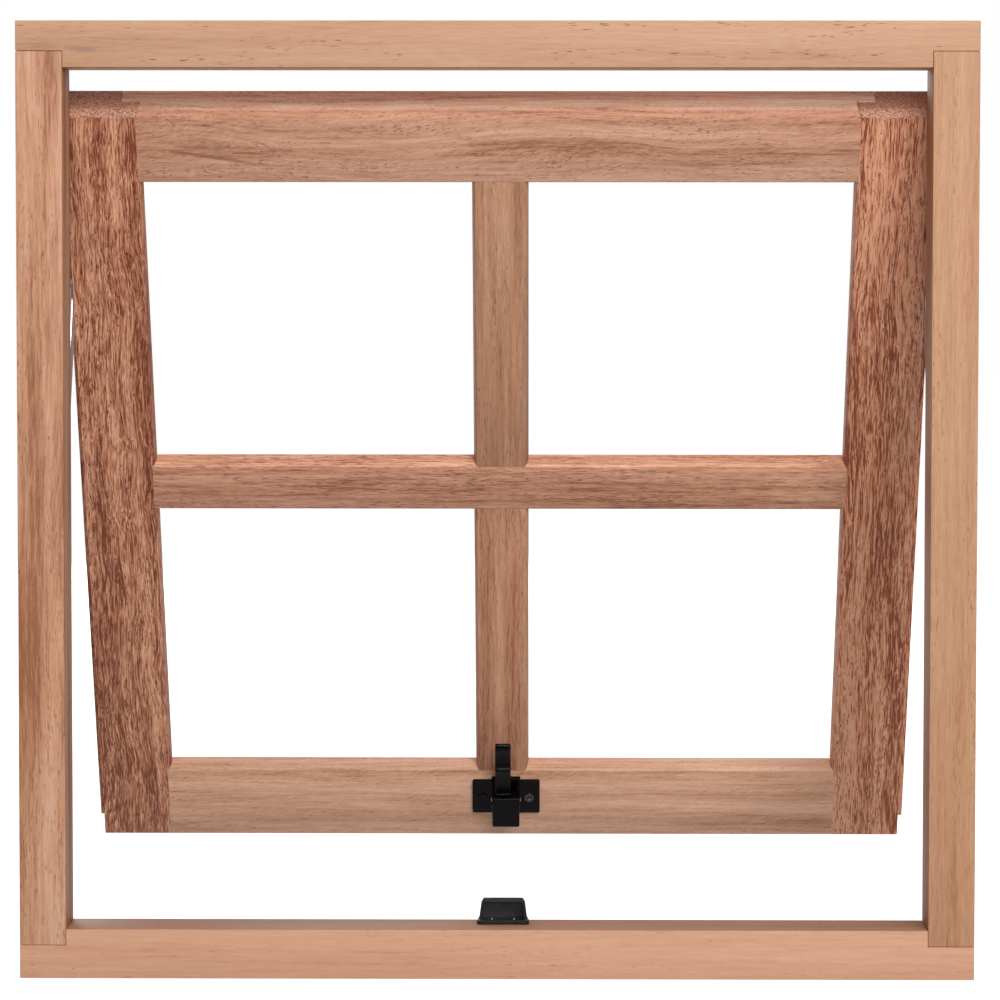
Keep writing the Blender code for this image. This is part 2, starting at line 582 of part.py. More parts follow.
def build_latch(sash, lever_body, bottom):
    """Bracket with two ears, pin, and the cast lever whose claw hooks over the keeper."""
    x, y, z = LATCH_PIVOT
    front = SASH_FACE - PLATE_THICK
    foot = front + MM
    ears = rounded_box((x - EAR_HALF, z + EAR_LOW), (x + EAR_HALF, z + EAR_HIGH), EAR_ROUND)
    bracket = plate("latch_bracket", ears, front, SASH_FACE - GAP, "Y", sash, "iron")
    cheek = [(foot, z + CHEEK_TOP), (y - CHEEK_ROUND / 2, z + CHEEK_SHOULDER)]
    cheek += arc((y, z), CHEEK_ROUND, 150, 240, 6)
    cheek += [(y, z - CHEEK_ROUND), (foot, z + CHEEK_LOW)]
    for side, name in SIDES:
        low, high = sorted((x + side * (HUB_HALF + GAP), x + side * CHEEK_OUTER))
        boolean(bracket, plate(f"latch_cheek_{name}", cheek, low, high, "X", sash), "UNION")
        wood_screw(f"latch_screw_{name}", LATCH_SCREW, (x + side * EAR_SCREW_X, front, z + EAR_SCREW_Z),
                   (0, 1, 0), sash, "iron", [bracket, bottom])
    half_bridge = HUB_HALF + MM
    bridge = block("latch_bridge", (x - half_bridge, foot - BRIDGE_THICK, z + BRIDGE_LOW),
                   (x + half_bridge, foot, z + CHEEK_TOP), sash)
    boolean(bracket, bridge, "UNION")

    pin_half = CHEEK_OUTER + GAP
    pin = [(0, pin_half), (LATCH_PIN - PIN_CHAMFER, pin_half), (LATCH_PIN, pin_half - PIN_CHAMFER),
           (LATCH_PIN, PIN_CHAMFER - pin_half), (LATCH_PIN - PIN_CHAMFER, -pin_half), (0, -pin_half)]
    turned("latch_pin", pin, LATCH_PIVOT, (1, 0, 0), sash, "steel")
    bore("latch_bracket_bore", LATCH_PIN + GAP, -BORE_REACH, BORE_REACH, LATCH_PIVOT, "X", sash, [bracket])

    # The lever's outlines are (y, z) from its pivot; -Y is towards the room
    hub = arc((0, 0), HUB_ROUND, -60, 60, 8) + metres(HUB_BACK)
    lever = plate("latch_lever", hub, -HUB_HALF, HUB_HALF, "X", lever_body, "iron")
    boolean(lever, plate("lever_claw", metres(CLAW), -CLAW_HALF, CLAW_HALF, "X", lever_body), "UNION")
    handle = plate("lever_handle", metres(HANDLE), HANDLE_SHIFT - HANDLE_HALF, HANDLE_SHIFT + HANDLE_HALF,
                   "X", lever_body)
    boolean(lever, handle, "UNION")
    bore("lever_bore", LATCH_PIN + GAP, -BORE_REACH, BORE_REACH, (0, 0, 0), "X", lever_body, [lever])


def build_keeper(sill):
    """Keeper on the sill: a screwed flange with a tapered wall that the claw hooks over."""
    floor = SILL_FACE + GAP
    flange_top = floor + KEEPER_FLANGE
    left, right = LATCH_X - KEEPER_HALF_FOOT, LATCH_X + KEEPER_HALF_FOOT
    corner_y = KEEPER_FRONT + KEEPER_ROUND
    outline = [(left + KEEPER_TAPER, KEEPER_BACK)]
    outline += arc((left + KEEPER_ROUND, corner_y), KEEPER_ROUND, 180, 270, 4)
    outline += arc((right - KEEPER_ROUND, corner_y), KEEPER_ROUND, 270, 360, 4)
    outline += [(right - KEEPER_TAPER, KEEPER_BACK)]
    keeper = plate("latch_keeper", outline, floor, flange_top, "Z", None, "iron")
    top = SILL_FACE + KEEPER_HEIGHT
    foot, half_top = KEEPER_HALF_FOOT - WALL_INSET, KEEPER_HALF_TOP
    wall = [(LATCH_X - foot, floor + MM), (LATCH_X + foot, floor + MM), (LATCH_X + half_top, top - MM),
            (LATCH_X + half_top - MM, top), (LATCH_X - half_top + MM, top), (LATCH_X - half_top, top - MM)]
    boolean(keeper, plate("keeper_wall", wall, KEEPER_WALL, KEEPER_BACK, "Y", None), "UNION")
    rib = [(KEEPER_WALL + MM, floor + MM), (KEEPER_FRONT + OVER, floor + MM),
           (KEEPER_WALL - 2 * MM, top - 3 * MM), (KEEPER_WALL + MM, top - 2 * MM)]
    for side, name in SIDES:
        low, high = sorted((LATCH_X + side * (half_top - 2 * MM), LATCH_X + side * (half_top + 0.2 * MM)))
        boolean(keeper, plate(f"keeper_rib_{name}", rib, low, high, "X", None), "UNION")
        place = (LATCH_X + side * KEEPER_SCREW_X, KEEPER_FRONT + KEEPER_SCREW_Y, flange_top)
        wood_screw(f"keeper_screw_{name}", LATCH_SCREW, place, (0, 0, -1), None, "iron", [keeper, sill])


# ---- Build --------------------------------------------------------------------------------------
FINISHES = {
    "head_timber": ((0.60, 0.37, 0.20), 0.6),
    "sill_timber": ((0.66, 0.38, 0.26), 0.6),
    "jamb_left_timber": ((0.62, 0.34, 0.23), 0.6),
    "jamb_right_timber": ((0.63, 0.38, 0.22), 0.6),
    "sash_timber": ((0.33, 0.15, 0.09), 0.6),
    "top_timber": ((0.46, 0.24, 0.17), 0.6),
    "bottom_timber": ((0.42, 0.25, 0.17), 0.6),
    "aluminium": ((0.60, 0.62, 0.66), 0.35, 1.0),
    "rivet": ((0.50, 0.51, 0.53), 0.35, 1.0),
    "steel": ((0.45, 0.42, 0.34), 0.35, 1.0),
    "nylon": ((0.03, 0.03, 0.03), 0.5),
    "iron": ((0.012, 0.012, 0.013), 0.4, 0.3),
}
JAMBS = {}

clear_scene()
PARTS = make_collection("top_hung_window")
CUTTERS = make_collection("cutters")
bpy.context.scene.unit_settings.system = "METRIC"

ARMS = make_frame("arms_axis", (0, PIVOT_Y, FRAME_PIVOT_Z), -OPEN_ANGLE)
SASH = make_frame("sash_axis", ARM_PIVOT, OPEN_ANGLE)
SHOES = make_frame("shoes_axis", (0, PIVOT_Y, SHOE_PIVOT_Z))
LEVER = make_frame("lever_axis", LATCH_PIVOT, parent=SASH)

SILL = build_frame()
STILES, BOTTOM = build_sash_timber(SASH)
for SIDE, SIDE_NAME in SIDES:
    build_stay(SIDE, SIDE_NAME, SASH, ARMS, SHOES, STILES[SIDE], JAMBS[SIDE])
build_latch(SASH, LEVER, BOTTOM)
build_keeper(SILL)
bpy.context.view_layer.update()
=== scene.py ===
"""Visual model of a top-hung projecting timber window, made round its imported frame.

Metres, +Z up, +X to the right seen from the room, +Y to the outside. Sash pieces are modelled upright in
the sash's own axes and then turned to its open rest place.
"""

import json
import math

import bpy
from bpy.props import FloatProperty, FloatVectorProperty, PointerProperty
from mathutils import Euler, Matrix, Vector


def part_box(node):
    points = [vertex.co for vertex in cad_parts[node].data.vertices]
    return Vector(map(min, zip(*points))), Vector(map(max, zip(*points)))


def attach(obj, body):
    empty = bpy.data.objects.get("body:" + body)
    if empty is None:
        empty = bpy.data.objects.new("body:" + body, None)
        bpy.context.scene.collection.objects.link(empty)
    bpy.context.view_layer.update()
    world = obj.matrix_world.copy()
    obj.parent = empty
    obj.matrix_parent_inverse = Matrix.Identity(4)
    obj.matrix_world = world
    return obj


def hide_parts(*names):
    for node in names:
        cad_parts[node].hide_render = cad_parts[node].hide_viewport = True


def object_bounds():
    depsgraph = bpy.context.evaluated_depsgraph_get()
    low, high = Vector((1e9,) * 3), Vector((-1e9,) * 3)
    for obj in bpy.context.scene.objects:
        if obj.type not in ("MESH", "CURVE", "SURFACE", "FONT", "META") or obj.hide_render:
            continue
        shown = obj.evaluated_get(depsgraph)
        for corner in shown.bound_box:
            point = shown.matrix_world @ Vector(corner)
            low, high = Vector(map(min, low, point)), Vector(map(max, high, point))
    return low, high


bl_info = {
    "name": "Top-hung timber window",
    "version": (1, 0, 0),
    "blender": (4, 5, 0),
    "location": "View3D > Sidebar > Window",
    "description": "Builds a projecting timber window with its side stays and lever latch",
    "category": "Object",
}

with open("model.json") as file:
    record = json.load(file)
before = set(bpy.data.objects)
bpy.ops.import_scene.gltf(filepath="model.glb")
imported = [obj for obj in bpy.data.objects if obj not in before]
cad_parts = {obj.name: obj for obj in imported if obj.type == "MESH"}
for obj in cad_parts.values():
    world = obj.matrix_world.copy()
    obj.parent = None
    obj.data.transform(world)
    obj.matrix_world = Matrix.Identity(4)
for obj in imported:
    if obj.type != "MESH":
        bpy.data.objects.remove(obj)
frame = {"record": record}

MM = 0.001
CAD_LOW, CAD_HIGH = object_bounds()
JOINTS = {joint["name"]: joint for joint in frame["record"]["behaviour"]["joints"]}

# ---- Places read from the frame -----------------------------------------------------------------
FRAME_PIVOT = Vector(JOINTS["sash_opening"]["pos_m"])
ARM_PIVOT = Vector(JOINTS["sash_on_arms"]["pos_m"])
SHOE_PIVOT = Vector(JOINTS["shoes_on_sash"]["pos_m"])
LATCH_PIVOT = Vector(JOINTS["latch_turn"]["pos_m"])
OPEN_ANGLE = -math.radians(JOINTS["sash_opening"]["range_deg"][0])
LINK = (SHOE_PIVOT - ARM_PIVOT).length

HEAD_LOW, HEAD_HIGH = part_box("frame_head")
SILL_LOW, SILL_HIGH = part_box("frame_sill")
JAMB_LOW, JAMB_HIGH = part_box("frame_jamb_right")
ROOM, OUTSIDE = HEAD_LOW.y, HEAD_HIGH.y
HALF_WIDTH = HEAD_HIGH.x
TOP = HEAD_HIGH.z

# ---- Sections of the outer frame ----------------------------------------------------------------
JAMB_INNER = JAMB_LOW.x
HEAD_UNDER = HEAD_LOW.z
SILL_TOP = SILL_HIGH.z
STOP_BACK = ROOM + 44 * MM
REBATE_X = HALF_WIDTH - 15 * MM
REBATE_TOP = TOP - 15 * MM
HOUSING = 10 * MM
SILL_FLOOR = SILL_TOP - 7 * MM
SILL_EDGE = SILL_FLOOR - 7 * MM

# ---- Sash, in its own axes: X across, Y to the outside, Z up it, origin on the arm pivots ---------
SASH_PLACE = Matrix.Translation(ARM_PIVOT) @ Matrix.Rotation(OPEN_ANGLE, 4, "X")
ARM_PLACE = Matrix.Translation(FRAME_PIVOT) @ Matrix.Rotation(-OPEN_ANGLE, 4, "X")
SHOE_PLACE = Matrix.Translation(SHOE_PIVOT)
PIVOT_DROP = 10 * MM
SASH_FACE = -15 * MM
SASH_BACK = SASH_FACE + 30 * MM
SASH_TOP = LINK + PIVOT_DROP
SASH_BOTTOM = SASH_TOP - 552 * MM
HALF_SASH = 275.5 * MM
STILE = 48 * MM
TOP_RAIL = 52 * MM
BOTTOM_RAIL = 55 * MM
BAR = 36.3 * MM
BAR_OFFSET = 1.2 * MM
LIP = 5 * MM
LIP_START = 24 * MM
MOULD_WIDTH = 2.6 * MM
MOULD_DEPTH = 12 * MM
REBATE_START = 13 * MM
REBATE = 12 * MM
TOP_ROUND = 6.5 * MM
PANE_HEIGHT = (SASH_TOP - SASH_BOTTOM - TOP_RAIL - BOTTOM_RAIL - BAR) / 2
TOP_EDGE = SASH_TOP - TOP_RAIL
BOTTOM_EDGE = SASH_BOTTOM + BOTTOM_RAIL
BAR_TOP = TOP_EDGE - PANE_HEIGHT
BAR_BOTTOM = BAR_TOP - BAR

# ---- Side stays, as distances from the middle plane ----------------------------------------------
STAY_WIDTH = 16 * MM
STAY_THICK = 2 * MM
CLEAR = 0.3 * MM
ARM_INNER = HALF_SASH + CLEAR
ARM_OUTER = ARM_INNER + STAY_THICK
TRACK_BASE = REBATE_X - 1.5 * MM
TRACK_EDGE = REBATE_X - 3.7 * MM
TRACK_WIDTH = 19 * MM
TRACK_WALL = 1.2 * MM
RIVET = 3.2 * MM
RIVET_HEAD = 5.5 * MM

# ---- Latch, from its pivot in the sash's axes ----------------------------------------------------
LATCH = SASH_PLACE.inverted() @ LATCH_PIVOT
LATCH_PLACE = SASH_PLACE @ Matrix.Translation(LATCH)
PLATE_FRONT = SASH_FACE - 2.5 * MM - LATCH.y
PLATE_BACK = SASH_FACE - 0.05 * MM - LATCH.y
HUB_HALF = 7.4 * MM
CHEEK_OUTER = 9.8 * MM
LATCH_PIN = 2 * MM

# ---- Keeper ------------------------------------------------------------------------------------
KEEPER_FRONT = ROOM + 21.8 * MM
KEEPER_WALL = ROOM + 37.5 * MM
KEEPER_BACK = ROOM + 41 * MM
KEEPER_TOP = SILL_TOP + 14.6 * MM
KEEPER_FLANGE = SILL_TOP + 2.7 * MM

# Screws: head radius, sink of the head, shank radius, length
FRAME_SCREW = (4.5 * MM, 3.2 * MM, 2.2 * MM, 52 * MM)
STAY_SCREW = (3.2 * MM, 1.4 * MM, 1.6 * MM, 13 * MM)
LATCH_SCREW = (3.6 * MM, 1.9 * MM, 1.8 * MM, 18 * MM)

AXES = {"X": Vector((1, 0, 0)), "Y": Vector((0, 1, 0)), "Z": Vector((0, 0, 1))}
SIDES = ((-1, "left"), (1, "right"))
STAGE_RADIUS = 14.0


def linear(code):
    """A hex sRGB colour as linear red, green, blue and alpha."""
    parts = [int(code[i:i + 2], 16) / 255 for i in (1, 3, 5)]
    return tuple(c / 12.92 if c <= 0.04045 else ((c + 0.055) / 1.055) ** 2.4 for c in parts) + (1.0,)


# ---- Modelling helpers ---------------------------------------------------------------------------
def activate(obj):
    """Make obj the only selected object, and the active one."""
    bpy.ops.object.select_all(action="DESELECT")
    obj.select_set(True)
    bpy.context.view_layer.objects.active = obj


def arc(centre, radius, start, end, steps):
    """Points on an arc, with its angles in degrees."""
    turns = [math.radians(start + (end - start) * i / steps) for i in range(steps + 1)]
    return [(centre[0] + radius * math.cos(a), centre[1] + radius * math.sin(a)) for a in turns]


def rounded_box(low, high, radius, steps=5):
    """Outline of a rectangle with four round corners."""
    corners = ((high[0] - radius, high[1] - radius, 0), (low[0] + radius, high[1] - radius, 90),
               (low[0] + radius, low[1] + radius, 180), (high[0] - radius, low[1] + radius, 270))
    return [p for x, y, a in corners for p in arc((x, y), radius, a, a + 90, steps)]


def strip(low, high, width, steps=14):
    """Outline of a flat bar along Z with round ends."""
    return arc((0, high), width / 2, 0, 180, steps) + arc((0, low), width / 2, 180, 360, steps)


def swept(name, outline, low, high, along):
    """A filled ring shaped to an outline and extruded from low to high along one axis."""
    bpy.ops.object.select_all(action="DESELECT")
    bpy.ops.mesh.primitive_circle_add(vertices=len(outline), radius=1, fill_type="NGON")
    obj = bpy.context.object
    obj.name = name
    for vertex, (u, v) in zip(obj.data.vertices, outline):
        vertex.co = {"X": (low, u, v), "Y": (u, low, v), "Z": (u, v, low)}[along]
    bpy.ops.object.mode_set(mode="EDIT")
    bpy.ops.mesh.select_all(action="SELECT")
    bpy.ops.mesh.extrude_region_move(TRANSFORM_OT_translate={"value": AXES[along] * (high - low)})
    bpy.ops.mesh.select_all(action="SELECT")
    bpy.ops.mesh.normals_make_consistent(inside=False)
    bpy.ops.object.mode_set(mode="OBJECT")
    return obj


def block(name, corner_a, corner_b):
    """A cutter or blank between two opposite corners."""
    (ax, ay, az), (bx, by, bz) = corner_a, corner_b
    return swept(name, [(ax, ay), (bx, ay), (bx, by), (ax, by)], min(az, bz), max(az, bz), "Z")


def turned(name, profile, sides=32):
    """A disc drawn out ring by ring along +Z through (radius, height) points."""
    radius, height = profile[0]
    bpy.ops.object.select_all(action="DESELECT")
    bpy.ops.mesh.primitive_circle_add(vertices=sides, radius=radius, fill_type="NGON", location=(0, 0, height))
    obj = bpy.context.object
    obj.name = name
    bpy.ops.object.transform_apply(location=True, rotation=True, scale=True)
    bpy.ops.object.mode_set(mode="EDIT")
    bpy.ops.mesh.select_all(action="SELECT")
    for wider, higher in profile[1:]:
        bpy.ops.mesh.extrude_region_move(TRANSFORM_OT_translate={"value": (0, 0, higher - height)})
        grow = wider / radius
        bpy.ops.transform.resize(value=(grow, grow, 1), center_override=(0, 0, higher))
        radius, height = wider, higher
    bpy.ops.mesh.select_all(action="SELECT")
    bpy.ops.mesh.normals_make_consistent(inside=False)
    bpy.ops.object.mode_set(mode="OBJECT")
    return obj


def combine(obj, tool, operation="DIFFERENCE"):
    """Cut tool from obj or join it to obj, and use the tool up."""
    activate(obj)
    modifier = obj.modifiers.new("Combine", "BOOLEAN")
    modifier.operation = operation
    modifier.solver = "EXACT"
    modifier.object = tool
    bpy.ops.object.modifier_apply(modifier=modifier.name)
    bpy.data.objects.remove(tool, do_unlink=True)
    return obj


def soften(obj, width, segments=2, angle=50):
    """Round the sharp edges of a piece and shade its curved faces smooth."""
    activate(obj)
    modifier = obj.modifiers.new("Arris", "BEVEL")
    modifier.limit_method = "ANGLE"
    modifier.angle_limit = math.radians(angle)
    modifier.width = width
    modifier.segments = segments
    modifier.use_clamp_overlap = True
    bpy.ops.object.modifier_apply(modifier=modifier.name)
    smooth(obj)
    return obj


def smooth(obj, angle=32):
    activate(obj)
    bpy.ops.object.shade_smooth_by_angle(angle=math.radians(angle))


def place(obj, matrix):
    """Move a piece by a matrix and settle that into its mesh."""
    obj.matrix_world = matrix
    activate(obj)
    bpy.ops.object.transform_apply(location=True, rotation=True, scale=True)
    return obj


def duplicate(template, name, matrix):
    """Another piece of the same shape, with its own mesh, at its own place."""
    copy = template.copy()
    copy.data = template.data.copy()
    copy.name = name
    bpy.context.scene.collection.objects.link(copy)
    return place(copy, matrix)


def aimed(point, direction):
    """The matrix that takes +Z to a direction and the origin to a point."""
    turn = Vector((0, 0, 1)).rotation_difference(Vector(direction)).to_matrix().to_4x4()
    return Matrix.Translation(Vector(point)) @ turn


def settle(obj, body, nodes, material):
    """Give a finished piece its material, its body and the nodes that it stands for."""
    obj.data.materials.clear()
    obj.data.materials.append(material)
    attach(obj, body)
    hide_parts(*nodes)
    return obj


# ---- Materials -----------------------------------------------------------------------------------
def node(tree, kind, inputs=None, stops=None, **settings):
    """Add a node with its settings, and set or link its inputs."""
    made = tree.nodes.new(kind)
    for key, value in settings.items():
        setattr(made, key, value)
    if stops:
        ramp = made.color_ramp
        while len(ramp.elements) < len(stops):
            ramp.elements.new(0.5)
        for element, (position, colour) in zip(ramp.elements, stops):
            element.position = position
            element.color = colour
    for key, value in (inputs or {}).items():
        if isinstance(value, bpy.types.NodeSocket):
            tree.links.new(value, made.inputs[key])
        else:
            made.inputs[key].default_value = value
    return made


def new_material(name, **numbers):
    """A material whose shader's constant numbers are set on the shader itself."""
    material = bpy.data.materials.new(name)
    material.use_nodes = True
    shader = material.node_tree.nodes["Principled BSDF"]
    for key, value in numbers.items():
        shader.inputs[key.replace("_", " ")].default_value = value
    return material, material.node_tree, shader


WHITE = (1.0, 1.0, 1.0, 1.0)
BLACK = (0.0, 0.0, 0.0, 1.0)


def timber(name, look):
    """Planed, unfinished, open-pored hardwood: matt, with fibre streaks and short dark pore lines."""
    material, tree, shader = new_material(name, Roughness=0.62, Specular_IOR_Level=0.3)
    coordinates = node(tree, "ShaderNodeTexCoord")
    # Grain axes: Z along the grain, X across the face, Y into the timber
    place_turn = Euler(look["turn"])
    grain = node(tree, "ShaderNodeMapping", {
        "Vector": coordinates.outputs["Object"], "Rotation": place_turn,
        "Location": -(place_turn.to_matrix() @ look["origin"])}).outputs["Vector"]
    seed = Vector(look["seed"])

    def pattern(source, across, along, detail, roughness=0.5, tilt=0.0, depth=None):
        """Noise drawn out along the grain; across and along are real sizes in millimetres."""
        if tilt:
            source = node(tree, "ShaderNodeMapping", {
                "Vector": source, "Rotation": (0, math.radians(tilt), 0)}).outputs["Vector"]
        scaled = node(tree, "ShaderNodeMapping", {
            "Vector": source, "Location": seed * (1 + across),
            "Scale": (1000 / across, 1000 / (depth or across), 1000 / along)})
        return node(tree, "ShaderNodeTexNoise", {
            "Vector": scaled.outputs["Vector"], "Scale": 1.0, "Detail": detail, "Roughness": roughness})

    # The grain wanders a few millimetres over a hand's length
    wander = look["wander"] * MM
    bend = pattern(grain, look.get("bend_across", 40), look.get("bend_along", 150), 1.0)
    bent = node(tree, "ShaderNodeVectorMath", {
        0: bend.outputs["Color"], 1: (wander, wander, 0), 2: grain}, operation="MULTIPLY_ADD").outputs["Vector"]

    # Weighted sum of broad bands, streaks, fibres and the ripple of interlocked grain
    total = None
    for weight, field in ((look["band"], pattern(bent, look["band_across"], 300, 2.0)),
                          (look["streak"], pattern(bent, look["streak_across"], look["streak_along"], 4.0, 0.6)),
                          (look["fibre"], pattern(bent, 0.75, 11, 3.0, 0.6)),
                          (look["ripple"], pattern(bent, 0.9, 6.0, 2.0, 0.5, look["ripple_tilt"]))):
        if not weight:
            continue
        sum_inputs = {0: field.outputs["Fac"], 1: weight, 2: total if total else 0.5 * (1 - look["sum"])}
        total = node(tree, "ShaderNodeMath", sum_inputs, operation="MULTIPLY_ADD").outputs["Value"]
    spread = 0.16
    colour = node(tree, "ShaderNodeValToRGB", {"Fac": total}, stops=(
        (0.5 - 1.6 * spread, linear(look["dark"])), (0.5 - 0.5 * spread, linear(look["middle"])),
        (0.5 + 0.6 * spread, linear(look["light"])), (0.5 + 1.8 * spread, linear(look["bright"])))).outputs["Color"]

    # Vessels cut lengthwise show as short dark lines, in some bands more than in others
    vessel = pattern(bent, look["pore_across"], look["pore_along"], 1.0)
    crowd = pattern(bent, 9, 90, 1.0)
    level = node(tree, "ShaderNodeMath", {
        0: crowd.outputs["Fac"], 1: 0.35, 2: vessel.outputs["Fac"]}, operation="MULTIPLY_ADD").outputs["Value"]
    start = look["pore_start"] + 0.175
    pores = node(tree, "ShaderNodeValToRGB", {"Fac": level}, stops=(
        (start, BLACK), (start + 0.035, WHITE))).outputs["Color"]
    strength = node(tree, "ShaderNodeMath", {0: pores, 1: look["pore_strength"]}, operation="MULTIPLY").outputs["Value"]
    colour = node(tree, "ShaderNodeMix", {0: strength, 6: colour, 7: linear(look["pore"])},
                  data_type="RGBA").outputs[2]

    # Sawn end grain: paler and dusty, with the same vessels seen as dots
    if look.get("end_from"):
        lengthwise = node(tree, "ShaderNodeVectorMath", {
            0: coordinates.outputs["Normal"], 1: look["grain_axis"]}, operation="DOT_PRODUCT").outputs["Value"]
        facing = node(tree, "ShaderNodeMath", {0: lengthwise}, operation="ABSOLUTE").outputs["Value"]
        end_mask = node(tree, "ShaderNodeValToRGB", {"Fac": facing}, stops=(
            (look["end_from"], BLACK), (look["end_from"] + 0.12, WHITE))).outputs["Color"]
        torn = pattern(grain, 1.1, 1.1, 4.0, 0.75)
        end_colour = node(tree, "ShaderNodeValToRGB", {"Fac": torn.outputs["Fac"]}, stops=(
            (0.38, linear(look["dark"])), (0.46, linear(look["end_middle"])),
            (0.55, linear(look["end_light"])))).outputs["Color"]
        colour = node(tree, "ShaderNodeMix", {0: end_mask, 6: colour, 7: end_colour}, data_type="RGBA").outputs[2]

    # Painted light and shade: faces that look along one axis (mouldings, top faces, reveals) are drawn paler or darker
    # than the room faces, standing in for how the light falls on them
    if look.get("painted_light_axis"):
        painted_light_facing = node(tree, "ShaderNodeVectorMath", {
            0: coordinates.outputs["Normal"], 1: look["painted_light_axis"]}, operation="DOT_PRODUCT").outputs["Value"]
        painted_light_gain = node(tree, "ShaderNodeValToRGB", {"Fac": painted_light_facing}, stops=(
            (0.25, WHITE), (0.8, (*look["painted_round_gain"], 1)), (0.98, (*look["painted_flat_gain"], 1)))).outputs["Color"]
        colour = node(tree, "ShaderNodeMix", {0: 1.0, 6: colour, 7: painted_light_gain}, data_type="RGBA",
                      blend_type="MULTIPLY").outputs[2]

    # Knots and stains at their own places: centre and half sizes in grain axes, colour and strength
    for centre, half, tilt, code, amount in look.get("marks", ()):
        shift = node(tree, "ShaderNodeMapping", {
            "Vector": grain, "Location": -Vector(centre)}).outputs["Vector"]
        turned_to = node(tree, "ShaderNodeMapping", {
            "Vector": shift, "Rotation": (0, math.radians(tilt), 0)}).outputs["Vector"]
        fitted = node(tree, "ShaderNodeMapping", {
            "Vector": turned_to, "Scale": [1 / size for size in half]}).outputs["Vector"]
        reach = node(tree, "ShaderNodeVectorMath", {0: fitted}, operation="LENGTH").outputs["Value"]
        fade = node(tree, "ShaderNodeValToRGB", {"Fac": reach}, stops=(
            (0.45, (amount, amount, amount, 1)), (1.0, BLACK))).outputs["Color"]
        colour = node(tree, "ShaderNodeMix", {0: fade, 6: colour, 7: linear(code)}, data_type="RGBA").outputs[2]

    tree.links.new(colour, shader.inputs["Base Color"])
    # Pores and the softer early wood lie below the planed surface
    relief = node(tree, "ShaderNodeMath", {0: pores, 1: -0.8, 2: total}, operation="MULTIPLY_ADD").outputs["Value"]
    bump = node(tree, "ShaderNodeBump", {"Height": relief, "Strength": 0.55, "Distance": 0.25 * MM})
    tree.links.new(bump.outputs["Normal"], shader.inputs["Normal"])
    return material


def look(**changes):
    """The common look of the timber, with one piece's changes."""
    base = {
        "turn": (0, 0, 0), "origin": Vector((0, 0, 0)), "seed": (0, 0, 0), "wander": 4.0,
        "band": 1.0, "band_across": 14.0, "streak": 1.0, "streak_across": 2.4, "streak_along": 55.0,
        "fibre": 0.55, "ripple": 0.0, "ripple_tilt": 25.0,
        "bright": "#DDB498", "light": "#D3A183", "middle": "#C59072", "dark": "#A87054", "pore": "#7A4A35",
        "pore_across": 0.7, "pore_along": 6.0, "pore_start": 0.62, "pore_strength": 0.7,
        "grain_axis": (0, 0, 1), "end_middle": "#C48A70", "end_light": "#E6B79E",
    }
    base.update(changes)
    base["sum"] = base["band"] + base["streak"] + base["fibre"] + base["ripple"]
    return base


ALONG_X = (0, -math.pi / 2, 0)
SASH_UP = (-OPEN_ANGLE, 0, 0)
SASH_ACROSS = (-OPEN_ANGLE, -math.pi / 2, 0)
SASH_AXIS = tuple(SASH_PLACE.to_3x3() @ Vector((0, 0, 1)))


def painted_light_gain(axis, painted_round_gain, painted_flat_gain):
    """Painted light and shade: how much paler or darker the faces that look along an axis are drawn, on their rounds
    and their flats.
    """
    return {"painted_light_axis": axis, "painted_round_gain": painted_round_gain, "painted_flat_gain": painted_flat_gain}
